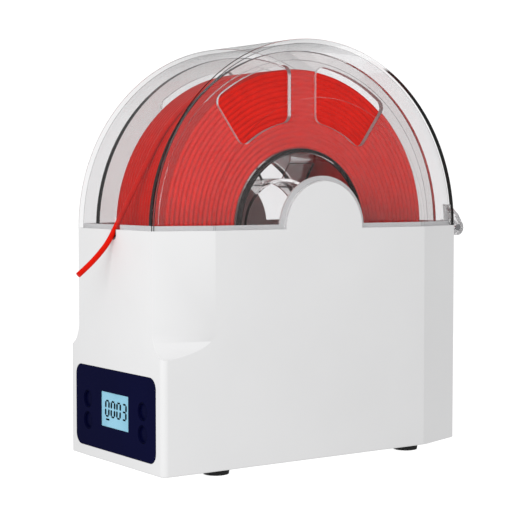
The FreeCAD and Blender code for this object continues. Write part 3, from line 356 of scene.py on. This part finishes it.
def moulded_plastic(name, colour, rough, grain=1400, depth=0.01 * MM, vary=0.03, gloss=0.5):
    """Injection-moulded plastic: fine satin grain and a slow drift of tone."""
    work = Nodes(name)
    drift = work.noise(24)
    work.link(work.blend(work.spread(drift, 0, 1), shade(colour, 1 - vary),
                         shade(colour, 1 + vary)), work.shader.inputs["Base Color"])
    fine = work.noise(grain, 2)
    work.link(work.spread(fine, rough - 0.05, rough + 0.05), work.shader.inputs["Roughness"])
    work.bump(fine, depth)
    work.put(IOR=1.5, Specular_IOR_Level=gloss)
    return work.material


def clear_plastic(name, tint, haze, haze_colour, rough=0.01, index=1.49, ends=None):
    """Clear moulded plastic, painted the dark colour `ends` at the lid's two ends where it is
    given:
    a painted dark refraction. Light for shadows passes straight through it."""
    work = Nodes(name)
    work.put(Base_Color=(*tint, 1), Transmission_Weight=1.0, IOR=index)
    if ends:
        # Painted dark refraction: the colour of `ends` at both ends of the lid, set by position
        # along Y.
        colour = work.blend(work.backwards(*FRONT_PAINTED_DARK), ends, tint)
        colour = work.blend(work.backwards(*REAR_PAINTED_DARK), colour, ends)
        work.link(colour, work.shader.inputs["Base Color"])
    streak = work.noise(60, 4)
    work.link(work.spread(streak, rough, rough + 0.02, 0.45, 0.75),
              work.shader.inputs["Roughness"])
    milky = work.node("ShaderNodeBsdfDiffuse")
    milky.inputs["Color"].default_value = (*haze_colour, 1)
    cloudy = work.node("ShaderNodeMixShader")
    work.link(work.spread(work.noise(35), haze * 0.8, haze * 1.2), cloudy.inputs[0])
    work.link(work.shader.outputs[0], cloudy.inputs[1])
    work.link(milky.outputs[0], cloudy.inputs[2])
    through = work.node("ShaderNodeBsdfTransparent")
    through.inputs["Color"].default_value = (*tint, 1)
    path = work.node("ShaderNodeLightPath")
    mixed = work.node("ShaderNodeMixShader")
    work.link(path.outputs["Is Shadow Ray"], mixed.inputs[0])
    work.link(cloudy.outputs[0], mixed.inputs[1])
    work.link(through.outputs[0], mixed.inputs[2])
    work.link(mixed.outputs[0], work.output.inputs["Surface"])
    return work.material


def clear_sheet(name, tint, least=0.025, most=0.6, rear_painted_dark=None):
    """Thin clear plastic: light passes straight on, and more of it is reflected at a glance."""
    work = Nodes(name)
    streak = work.noise(45, 4)
    work.link(work.spread(streak, 0.02, 0.06), work.shader.inputs["Roughness"])
    work.put(Base_Color=(1, 1, 1, 1), Metallic=1.0)
    through = work.node("ShaderNodeBsdfTransparent")
    colour = work.blend(work.spread(streak, 0, 1), shade(tint, 0.985), tint)
    # Painted dark refraction: the rear of the crease strips turns near black, set by position along
    # Y.
    if rear_painted_dark:
        colour = work.blend(work.backwards(*REAR_PAINTED_DARK), colour, rear_painted_dark)
    work.link(colour, through.inputs["Color"])
    glance = work.node("ShaderNodeLayerWeight")
    steep = work.node("ShaderNodeMath", operation="POWER")
    steep.inputs[1].default_value = 5
    work.link(glance.outputs["Facing"], steep.inputs[0])
    mixed = work.node("ShaderNodeMixShader")
    work.link(work.spread(steep.outputs[0], least, most, 0, 1), mixed.inputs[0])
    work.link(through.outputs[0], mixed.inputs[1])
    work.link(work.shader.outputs[0], mixed.inputs[2])
    work.link(mixed.outputs[0], work.output.inputs["Surface"])
    return work.material


def filament_plastic(name, colour):
    """Extruded filament: glossy, with a faint change of tone along it."""
    work = Nodes(name)
    drift = work.noise(180, 2)
    work.link(work.blend(work.spread(drift, 0, 1), shade(colour, 0.94), shade(colour, 1.06)),
              work.shader.inputs["Base Color"])
    work.link(work.spread(work.noise(2500, 1), 0.36, 0.46), work.shader.inputs["Roughness"])
    work.put(IOR=1.46, Specular_IOR_Level=0.1)
    work.bump(work.noise(1800, 2), 0.006 * MM)
    return work.material


def metal(name, colour, rough, stretch):
    """Turned or brushed metal: fine scratches drawn out along one axis."""
    work = Nodes(name)
    scratches = work.noise(1.0, 4, work.stretched(stretch))
    work.link(work.blend(work.spread(scratches, 0, 1), shade(colour, 0.85), colour),
              work.shader.inputs["Base Color"])
    work.link(work.spread(scratches, rough - 0.08, rough + 0.1), work.shader.inputs["Roughness"])
    work.bump(scratches, 0.01 * MM, 0.4)
    work.put(Metallic=1.0)
    return work.material


def rubber(name, colour):
    work = Nodes(name)
    speck = work.noise(900, 4)
    work.link(work.blend(work.spread(speck, 0, 1), shade(colour, 0.7), shade(colour, 1.4)),
              work.shader.inputs["Base Color"])
    work.link(work.spread(speck, 0.7, 0.9), work.shader.inputs["Roughness"])
    work.bump(speck, 0.03 * MM)
    return work.material


def board(name, mask, copper):
    """A circuit board: solder mask over a pattern of straight traces."""
    work = Nodes(name)
    lines = work.node("ShaderNodeTexBrick")
    lines.inputs["Scale"].default_value = 320
    lines.inputs["Mortar Size"].default_value = 0.03
    lines.inputs["Mortar Smooth"].default_value = 0.1
    work.link(work.place, lines.inputs["Vector"])
    work.link(work.blend(lines.outputs["Fac"], mask, copper), work.shader.inputs["Base Color"])
    work.link(work.spread(work.noise(500), 0.3, 0.45), work.shader.inputs["Roughness"])
    work.bump(lines.outputs["Fac"], 0.02 * MM)
    return work.material


def display_face(name, colour, brighter):
    """A lit display, a little uneven, with a faint grain of cells."""
    work = Nodes(name)
    glow = work.noise(60, 1)
    face = work.blend(work.spread(glow, 0, 1), colour, brighter)
    work.link(face, work.shader.inputs["Base Color"])
    work.link(face, work.shader.inputs["Emission Color"])
    work.put(Emission_Strength=0.03, Roughness=0.35)
    work.bump(work.noise(4000, 1), 0.004 * MM)
    return work.material


MATERIALS = {
    "white_shell": moulded_plastic("white_shell", (0.80, 0.80, 0.805), 0.42, vary=0.012),
    "clear_lid": clear_sheet("clear_lid", (0.945, 0.945, 0.948)),
    # clear_edge and clear_strip are painted near black at the lid's ends, a painted dark
    # refraction.
    "clear_edge": clear_plastic("clear_edge", (0.97, 0.97, 0.97), 0.0, (0.8, 0.8, 0.8),
                                ends=(0.004, 0.004, 0.004)),
    "clear_strip": clear_sheet("clear_strip", (0.945, 0.945, 0.948), rear_painted_dark=(0.004,) * 3),
    "clear_hook": clear_plastic("clear_hook", (0.93, 0.92, 0.93), 0.1, (0.8, 0.8, 0.8)),
    "clear_wall": clear_plastic("clear_wall", (0.97, 0.97, 0.97), 0.33, (0.9, 0.9, 0.9)),
    # The flanges' outer edge painted near black: a painted dark line, not the plastic's own tint.
    "clear_rim": clear_plastic("clear_rim", (0.04, 0.038, 0.04), 0.02, (0.1, 0.1, 0.1)),
    "clear_spool": clear_plastic("clear_spool", (0.962, 0.935, 0.93), 0.012, (0.75, 0.7, 0.7)),
    "clear_window": clear_sheet("clear_window", (0.985, 0.99, 0.995), 0.0, 0.12),
    "red_filament": filament_plastic("red_filament", tone(218, 26, 2)),
    # Painted light: the same filament in a brighter red, so the winding's sides look more strongly
    # lit.
    "red_side_painted_brighter": filament_plastic("red_side_painted_brighter", tone(254, 32, 2)),
    "navy_panel": moulded_plastic("navy_panel", tone(16, 18, 50), 0.34, vary=0.08, gloss=0.02),
    "navy_button": moulded_plastic("navy_button", tone(15, 17, 48), 0.40, vary=0.08, gloss=0.03),
    "lcd_face": display_face("lcd_face", tone(144, 202, 225), tone(156, 212, 235)),
    "black_rubber": rubber("black_rubber", (0.012, 0.012, 0.013)),
    "grey_rubber": rubber("grey_rubber", (0.16, 0.16, 0.17)),
    "steel": metal("steel", (0.62, 0.62, 0.64), 0.28, (400, 400, 2500)),
    "aluminium": metal("aluminium", (0.80, 0.81, 0.83), 0.34, (2500, 120, 2500)),
    "amber_film": moulded_plastic("amber_film", (0.55, 0.22, 0.03), 0.22, 300, vary=0.15),
    "grey_plastic": moulded_plastic("grey_plastic", (0.22, 0.22, 0.23), 0.5, vary=0.06),
    "black_plastic": moulded_plastic("black_plastic", (0.02, 0.02, 0.022), 0.42, vary=0.1),
    "circuit_board": board("circuit_board", (0.01, 0.09, 0.035), (0.10, 0.26, 0.09)),
    "lead_sheath": moulded_plastic("lead_sheath", (0.03, 0.03, 0.035), 0.5, 700, vary=0.1),
    "lcd_ink": moulded_plastic("lcd_ink", (0.002, 0.008, 0.012), 0.5, vary=0.1, gloss=0.0),
}


# ---------------------------------------------------------------- filament
COIL_SIDE_DEPTH = 1.4 * MM    # of the grooves between coils, on the winding's sides
COIL_TOP_DEPTH = 0.5 * MM
COIL_ROUNDNESS = 0.6
WINDING_STEPS = 240
HUB_CLEARANCE = 0.05 * MM


def scallops(start, end, count, depth, points=6):
    """Bulges of round strands lying side by side from start to end, as (along, out) pairs."""
    pitch = (end - start) / count
    for turn in range(count):
        for point in range(points):
            share = point / points
            out = depth * (math.sin(math.pi * share) ** COIL_ROUNDNESS - 1)
            yield start + pitch * (turn + share), out


def make_winding():
    layers = round((WOUND_RADIUS - HUB_RADIUS) / (2 * STRAND_RADIUS))
    turns = round(WOUND_HALF / STRAND_RADIUS)
    inner = HUB_RADIUS + HUB_CLEARANCE
    edge = WOUND_HALF - COIL_SIDE_DEPTH
    profile = []
    for radius, out in scallops(inner, WOUND_RADIUS, layers, COIL_SIDE_DEPTH):
        profile.append((WOUND_HALF + out, radius))
    for x, out in scallops(edge, -edge, turns, COIL_TOP_DEPTH):
        profile.append((x, WOUND_RADIUS + out))
    for radius, out in scallops(WOUND_RADIUS, inner, layers, COIL_SIDE_DEPTH):
        profile.append((-WOUND_HALF - out, radius))

    mesh = lathe("winding", profile, SPOOL_CENTRE, WINDING_STEPS)
    add_object("wound_filament", mesh, "spool", "red_filament", "filament_winding")
    for material in ("red_filament", "red_side_painted_brighter"):
        mesh.materials.append(MATERIALS[material])
    # The winding's sides take the brighter red, which is painted light and not another filament.
    for face in mesh.polygons:
        face.material_index = int(abs(face.center.x) > edge)
    mesh.shade_smooth()


TAIL_ROUTE = [Vector(point) for point in (
    (0, -0.11115, 0.1306), (0, -0.114089, 0.125369), (0, -0.12015, 0.1186),
    (0, -0.12675, 0.1125), (0, -0.13295, 0.1078))]
STRAND_LEAVES = 6 * MM              # straight at the notch
STRAND_MEETS = 4 * MM               # and straight before it touches the winding
STRAND_SETTLES = math.radians(40)   # how far round the winding it sinks among the coils
STRAND_SINKS = 1.6                  # by this many of its radii
STRAND_STEPS = 8
POINT_SIZE = 0.0008                 # bounds include the radii of a spline's points, else 1 m each


def curve_through(name, points, radius):
    """A round cord along a smooth spline whose control points are the given ones."""
    data = bpy.data.curves.new(name, "CURVE")
    data.dimensions = "3D"
    data.bevel_depth = radius / POINT_SIZE
    data.bevel_resolution = 6
    data.use_fill_caps = True
    data.resolution_u = 16
    spline = data.splines.new("NURBS")
    spline.points.add(len(points) - 1)
    for point, place in zip(spline.points, points):
        point.co = (*place, 1)
        point.radius = POINT_SIZE
    spline.order_u = 3
    spline.use_endpoint_u = True
    return data


def make_tail():
    tail = add_object("loose_end", curve_through("loose_end", TAIL_ROUTE, STRAND_RADIUS),
                      "housing", "red_filament", "filament_tail")
    tail.data.materials.append(MATERIALS["red_filament"])


def make_strand():
    """The run from the notch to the winding, which then settles onto the last layer."""
    leave = TAIL_ROUTE[0]
    low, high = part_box("filament_strand")
    touch = Vector((0, high.y - (leave.y - low.y), high.z - (leave.z - low.z)))
    arm = touch - SPOOL_CENTRE
    radius = arm.length
    rise = math.atan2(arm.z, -arm.y)
    along = (touch - leave).normalized()
    points = [leave, leave + along * STRAND_LEAVES, leave.lerp(touch, 0.5),
              touch - along * STRAND_MEETS]
    for step in range(1, STRAND_STEPS + 1):
        share = step / STRAND_STEPS
        turn = rise + STRAND_SETTLES * share
        reach = radius - STRAND_RADIUS * STRAND_SINKS * share ** 1.5
        points.append(SPOOL_CENTRE + Vector((0, -math.cos(turn), math.sin(turn))) * reach)
    strand = add_object("drawn_strand", curve_through("drawn_strand", points, STRAND_RADIUS),
                        "housing", "red_filament", "filament_strand")
    strand.data.materials.append(MATERIALS["red_filament"])


# ---------------------------------------------------------------- buttons
BUTTON_RIM = 0.5 * MM
BUTTON_DISH = 1.1 * MM
BUTTON_CROWN = 0.35 * MM
BUTTON_CROWN_WIDE = 0.88       # of the radius inside the rim
BUTTON_CROWN_STEPS = 5
BUTTON_LIP = 0.2 * MM          # from the dish up to the rim's flat top, outwards
BUTTON_LIP_FOOT = 0.05 * MM
BUTTON_COLLAR_AT = 3.75 * MM   # behind the button's face
BUTTON_COLLAR = 0.9 * MM
BUTTON_COLLAR_STEP = 0.8 * MM
BUTTON_ROUND = 0.15 * MM
BUTTON_STEM = 0.42             # of the rim's radius
AXIS_GAP = 0.02 * MM           # a lathe's profile stays this far from its axis


def button_profile(node):
    """Half the button's section as (depth, radius): crown, dish, rim, collar and stem."""
    low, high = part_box(node)
    collar = (high.z - low.z) / 2
    rim = collar - BUTTON_COLLAR_STEP
    inner = rim - BUTTON_RIM
    stem = rim * BUTTON_STEM
    long = high.y - low.y
    crown = []
    for step in range(BUTTON_CROWN_STEPS + 1):
        share = step / BUTTON_CROWN_STEPS
        crown.append((BUTTON_DISH - BUTTON_CROWN * (1 - share ** 2),
                      max(inner * BUTTON_CROWN_WIDE * share, AXIS_GAP)))
    lip = [(BUTTON_DISH, inner), (BUTTON_ROUND, inner + BUTTON_LIP_FOOT), (0, inner + BUTTON_LIP),
           (0, rim - BUTTON_ROUND), (BUTTON_ROUND, rim)]
    back = [(BUTTON_COLLAR_AT, rim), (BUTTON_COLLAR_AT, collar),
            (BUTTON_COLLAR_AT + BUTTON_COLLAR, collar), (BUTTON_COLLAR_AT + BUTTON_COLLAR, stem),
            (long, stem), (long, AXIS_GAP)]
    return crown + lip + back


def make_buttons():
    face_front = Matrix.Rotation(math.pi / 2, 4, "Z")
    for name in ("heat", "time", "mode", "tare"):
        node = f"button_{name}"
        centre = middle(node)
        mesh = lathe(node, button_profile(node), Vector((0, 0, 0)), 48)
        place = Matrix.Translation((centre.x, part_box(node)[0].y, centre.z))
        mesh.transform(place @ face_front)
        item = add_object(f"push_button_{name}", mesh, body_of(node), SLOTS[node], node)
        mesh.materials.append(MATERIALS[SLOTS[node]])
        optical(item, 35)


# ---------------------------------------------------------------- clear lid
LID_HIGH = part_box("lid_shell")[1]
LID_RADIUS = LID_HIGH.z - SPOOL_CENTRE.z
LID_HALF = LID_HIGH.x
LID_WALL = 2.2 * MM
LID_CUT_ACROSS = 10.9 * MM   # the sloped band between the roof and each side
LID_CUT_DOWN = 32.9 * MM
TAB_CUT = 26.8 * MM          # the sides stop this far from the axis, round the housing's tabs
NOTCH_HALF = 2.8 * MM        # the filament's way out, at the front of the seam
NOTCH_HIGH = 6.8 * MM
NOTCH_DEEP = 6 * MM          # from the lid's front, so through its wall
CUT_MARGIN = 5 * MM          # of a cutting block past the wall that it cuts
ARM_FROM, ARM_TO = 28 * MM, 40 * MM                     # the hinge arms, across,
ARM_DOWN, ARM_UP, ARM_BACK = 10 * MM, 20 * MM, 30 * MM  # and the room round them at the rear wall
ARM_CLEAR = 0.3 * MM         # faces further behind the dome than this are a hinge arm's
LID_STRIP = 3.4 * MM         # along each crease, where the wall is seen edge on
LID_ROUND = 0.5 * MM
LID_EDGE_ROUND = 0.25 * MM
LID_STEPS = 144
CREASE_FACE = 2.0 * MM * MM  # the lid's wide faces are all larger than this
LEAST_TILT, MOST_TILT = 0.02, 0.995   # of a crease face's normal, sideways


def lid_profile():
    """The wall's outline in (across, radius), outside first and then back along the inside."""
    slope = math.hypot(LID_CUT_ACROSS, LID_CUT_DOWN)
    crease = LID_HALF - LID_CUT_ACROSS
    side_shift = LID_WALL * (slope - LID_CUT_DOWN) / LID_CUT_ACROSS
    roof_shift = LID_WALL * (slope - LID_CUT_ACROSS) / LID_CUT_DOWN
    outside = [(LID_HALF, TAB_CUT), (LID_HALF, LID_RADIUS - LID_CUT_DOWN), (crease, LID_RADIUS),
               (crease - LID_STRIP, LID_RADIUS)]
    inside = [(crease - roof_shift, LID_RADIUS - LID_WALL),
              (LID_HALF - LID_WALL, LID_RADIUS - LID_CUT_DOWN - side_shift),
              (LID_HALF - LID_WALL, TAB_CUT)]
    half = [Vector(point) for point in outside]
    back = [Vector(point) for point in inside]
    points = (half + [Vector((-x, r)) for x, r in reversed(half)]
              + [Vector((-x, r)) for x, r in reversed(back)] + back)
    rounds = ([LID_EDGE_ROUND, LID_ROUND, LID_ROUND, 0, 0, LID_ROUND, LID_ROUND]
              + [LID_EDGE_ROUND] * 2 + [LID_ROUND] * 4 + [LID_EDGE_ROUND])
    return list(filleted(points, rounds))


def make_lid():
    """The dome, turned on a lathe, with the notch cut in it and the CAD lid's own hinge arms."""
    seam = LID_HIGH.z - LID_RADIUS
    lid = loose("dome_lid", lathe("dome_lid", lid_profile(), SPOOL_CENTRE, LID_STEPS, math.pi))
    front = SPOOL_CENTRE.y - LID_RADIUS
    lid = combined(lid, block((-NOTCH_HALF, front - CUT_MARGIN, seam - CUT_MARGIN),
                              (NOTCH_HALF, front + NOTCH_DEEP, seam + NOTCH_HIGH)), "DIFFERENCE")
    wall_middle = SPOOL_CENTRE.y + LID_RADIUS - LID_WALL / 2
    for side in (-1, 1):
        arm = loose("arm", mesh_of("arm", welded(frame["nodes"]["lid_shell"].data)))
        reach = sorted((side * ARM_FROM, side * ARM_TO))
        arm = combined(arm, block((reach[0], wall_middle, seam - ARM_DOWN),
                                  (reach[1], wall_middle + ARM_BACK, seam + ARM_UP)), "INTERSECT")
        lid = combined(lid, arm, "UNION")
    lid.data.materials.clear()
    for material in ("clear_lid", "clear_edge", "clear_strip", "clear_hook"):
        lid.data.materials.append(MATERIALS[material])
    rear = SPOOL_CENTRE.y + LID_RADIUS + ARM_CLEAR
    strip = LID_HALF - LID_CUT_ACROSS - LID_STRIP
    # Crease faces and the strips beside them take the materials painted dark at the lid's ends.
    for face in lid.data.polygons:
        radius = (face.center - SPOOL_CENTRE).yz.length
        if face.center.y > rear:
            face.material_index = 3
        elif LEAST_TILT < abs(face.normal.x) < MOST_TILT and face.area < CREASE_FACE:
            face.material_index = 1
        elif abs(face.center.x) > strip and radius > LID_RADIUS - LID_WALL / 4:
            face.material_index = 2
    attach(lid, "lid")
    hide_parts("lid_shell")
    optical(lid)


# ---------------------------------------------------------------- display
DISPLAY_FRONT = LCD_LOW.y + 0.35 * MM   # the lit face; the clear window is in front of it
WINDOW_GAP = 0.05 * MM
WINDOW_CORNER = 0.5 * MM
FACE_CORNER = 0.4 * MM
FACE_INSET = 0.1 * MM      # all round, inside the window's outline
MODULE_GAP = 0.01 * MM     # between the lit plate and the display module behind it
PLATE_CHAMFER = 0.08 * MM
INK_DEPTH = 0.03 * MM
INK_GAP = 0.005 * MM
SEGMENTS = {"0": "abcdef", "3": "abcdg"}
READING = "0003"
DIGIT_FIRST = -8.6 * MM    # the middle of the first digit
DIGIT_PITCH = 6.3 * MM
DIGIT_WIDE = 3.6 * MM
DIGIT_HIGH = 8.5 * MM
DIGIT_Z = 32.65 * MM
DIGIT_SLANT = 0.047
STROKE_UP = 1.75 * MM      # seen at a slant, so drawn wider than the level strokes
STROKE_LEVEL = 1.0 * MM
STROKE_GAP = 0.25 * MM     # from a digit's corner to the end of each stroke
STROKE_POINT = 0.35        # a stroke's pointed ends, of its width
MARK_DROP = 1.9 * MM       # the short mark under the first digit
MARK_LEFT, MARK_RIGHT = -1.7 * MM, 2.4 * MM


def plate(name, low, high, corner, slot, *replaced):
    """A rounded rectangular plate facing the front, with a small chamfer round its face."""
    corners = [Vector(point) for point in ((low.x, low.z), (high.x, low.z),
                                           (high.x, high.z), (low.x, high.z))]
    outline = list(filleted(corners, [corner] * 4))
    centre = (low + high) / 2
    shape = bmesh.new()
    rings = []
    for y, inset in ((high.y, 0), (low.y + PLATE_CHAMFER, 0), (low.y, PLATE_CHAMFER)):
        rings.append([shape.verts.new((x - math.copysign(inset, x - centre.x), y,
                                       z - math.copysign(inset, z - centre.z)))
                      for x, z in outline])
    bridge(shape, rings, False)
    shape.faces.new(rings[0])
    shape.faces.new(rings[-1])
    bmesh.ops.recalc_face_normals(shape, faces=shape.faces)
    mesh = mesh_of(name, shape)
    item = add_object(name, mesh, "housing", slot, *replaced)
    mesh.materials.append(MATERIALS[slot])
    solid_look(item, 20)


def make_display():
    """The clear window, the lit face close behind it and the reading printed on that face."""
    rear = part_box("lcd_module")[0].y - MODULE_GAP
    edge = Vector((FACE_INSET, 0, FACE_INSET))
    plate("display_window", LCD_LOW, Vector((LCD_HIGH.x, DISPLAY_FRONT - WINDOW_GAP, LCD_HIGH.z)),
          WINDOW_CORNER, "clear_window", "lcd_window")
    plate("display_glass", Vector((LCD_LOW.x, DISPLAY_FRONT, LCD_LOW.z)) + edge,
          Vector((LCD_HIGH.x, rear, LCD_HIGH.z)) - edge, FACE_CORNER, "lcd_face")
    make_digits()


def bar(shape, start, end, y):
    """One stroke of a digit: a thin bar with pointed ends."""
    along = (end - start).normalized()
    width = STROKE_UP if abs(along.y) > 0.5 else STROKE_LEVEL
    across = Vector((-along.y, along.x)) * width / 2
    tip = along * width * STROKE_POINT
    outline = [start, start + tip + across, end - tip + across, end, end - tip - across,
               start + tip - across]
    front = [shape.verts.new((point.x, y, point.y)) for point in outline]
    rear = [shape.verts.new((point.x, y + INK_DEPTH, point.y)) for point in outline]
    shape.faces.new(front)
    shape.faces.new(rear[::-1])
    bridge(shape, [front, rear], False)


def make_digits():
    shape = bmesh.new()
    y = DISPLAY_FRONT - INK_DEPTH - INK_GAP
    w, h, gap = DIGIT_WIDE / 2, DIGIT_HIGH / 2, STROKE_GAP
    for place, digit in enumerate(READING):
        centre = DIGIT_FIRST + place * DIGIT_PITCH

        def at(x, z):
            return Vector((centre + x + z * DIGIT_SLANT, DIGIT_Z + z))
        strokes = {
            "a": (at(-w + gap, h), at(w - gap, h)), "g": (at(-w + gap, 0), at(w - gap, 0)),
            "d": (at(-w + gap, -h), at(w - gap, -h)), "f": (at(-w, gap), at(-w, h - gap)),
            "b": (at(w, gap), at(w, h - gap)), "e": (at(-w, -h + gap), at(-w, -gap)),
            "c": (at(w, -h + gap), at(w, -gap)),
        }
        for letter in SEGMENTS[digit]:
            bar(shape, *strokes[letter], y)
    mark = DIGIT_Z - h - MARK_DROP
    bar(shape, Vector((DIGIT_FIRST + MARK_LEFT, mark)), Vector((DIGIT_FIRST + MARK_RIGHT, mark)), y)
    bmesh.ops.recalc_face_normals(shape, faces=shape.faces)
    mesh = mesh_of("digits", shape)
    add_object("display_digits", mesh, "housing", "lcd_face")
    mesh.materials.append(MATERIALS["lcd_ink"])


# ---------------------------------------------------------------- moulded pieces
ROUNDED = {  # node: (piece's name, edge radius in mm)
    "base_housing": ("housing_shell", 0.5),
    "spool_flange_left": ("clear_flange_left", 0.35),
    "spool_flange_right": ("clear_flange_right", 0.35),
    "spool_hub": ("clear_hub", 0.3),
    "control_panel": ("dark_bezel", 0.35),
    "rubber_feet": ("soft_feet", 0.4),
}
RIM_DEPTH = 0.5 * MM
WINDOWS_FROM = 5 * MM     # outside the hub


def dress_flange(item):
    """A disc's outer edge is painted dark, a painted dark line, and the walls of its windows are
    milky.
    """
    for material in ("clear_spool", "clear_rim", "clear_wall"):
        item.data.materials.append(MATERIALS[material])
    for face in item.data.polygons:
        arm = face.center - SPOOL_CENTRE
        radius = math.hypot(arm.y, arm.z)
        if radius > FLANGE_RADIUS - RIM_DEPTH:
            face.material_index = 1
        elif radius > HUB_RADIUS + WINDOWS_FROM and abs(face.normal.x) < 0.1:
            face.material_index = 2


def make_moulded():
    for node, (name, edge) in ROUNDED.items():
        item = moulded(node, name, edge * MM)
        item.data.materials.clear()
        if node.startswith("spool_flange"):
            dress_flange(item)
        else:
            item.data.materials.append(MATERIALS[SLOTS[node]])


def paint_cad():
    for node, item in frame["nodes"].items():
        item.data.materials[0] = MATERIALS[SLOTS[node]]


# ---------------------------------------------------------------- stage
AIR_TO_CAMERA = 1.1
AIR_THROUGH_PLASTIC = 0.95
AIR_IN_REFLECTIONS = 0.3
AIR_ON_SURFACES = 0.80
FLOOR_GLOW = 0.70
FLOOR_RADIUS = 700 * MM
LIGHT_AIM = Vector((0, 0, 120 * MM))


def area_light(name, azimuth, elevation, distance, size, watts):
    """A soft round lamp that lights surfaces but leaves no spot on clear plastic."""
    data = bpy.data.lights.new(name, "AREA")
    data.shape = "DISK"
    data.size = size
    data.energy = watts
    light = bpy.data.objects.new(name, data)
    SCENE.collection.objects.link(light)
    back = direction(math.radians(azimuth), math.radians(elevation))
    light.location = LIGHT_AIM + back * distance
    look(light, -back)
    light.visible_glossy = False


def make_world():
    """Studio air: white to the camera, a little greyer through clear plastic, soft on surfaces."""
    world = bpy.data.worlds.new("studio")
    SCENE.world = world
    world.use_nodes = True
    tree = world.node_tree
    background = tree.nodes["Background"]
    background.inputs["Color"].default_value = (1, 1, 1, 1)
    path = tree.nodes.new("ShaderNodeLightPath")
    amount = AIR_ON_SURFACES
    for output, wanted in (("Is Glossy Ray", AIR_IN_REFLECTIONS),
                           ("Is Transmission Ray", AIR_THROUGH_PLASTIC),
                           ("Is Camera Ray", AIR_TO_CAMERA)):
        mixed = tree.nodes.new("ShaderNodeMix")
        tree.links.new(path.outputs[output], mixed.inputs[0])
        if isinstance(amount, float):
            mixed.inputs[2].default_value = amount
        else:
            tree.links.new(amount, mixed.inputs[2])
        mixed.inputs[3].default_value = wanted
        amount = mixed.outputs[0]
    tree.links.new(amount, background.inputs["Strength"])


def make_floor():
    shape = bmesh.new()
    bmesh.ops.create_circle(shape, cap_ends=True, radius=FLOOR_RADIUS, segments=96)
    mesh = mesh_of("floor", shape)
    floor = loose("floor", mesh)
    work = Nodes("studio_floor")
    speck = work.noise(40)
    work.link(work.blend(work.spread(speck, 0, 1), (0.86, 0.86, 0.86), (0.9, 0.9, 0.9)),
              work.shader.inputs["Base Color"])
    work.put(Roughness=0.8, Emission_Color=(1, 1, 1, 1), Emission_Strength=FLOOR_GLOW)
    mesh.materials.append(work.material)
    floor.visible_diffuse = False
    floor.visible_glossy = False


make_camera()
make_tail()
make_world()
make_floor()
area_light("key", azimuth=30, elevation=14, distance=0.6, size=0.35, watts=1.1)
paint_cad()
make_winding()
make_strand()
make_display()
make_moulded()
make_lid()
make_buttons()
SCENE.view_settings.view_transform = "Standard"
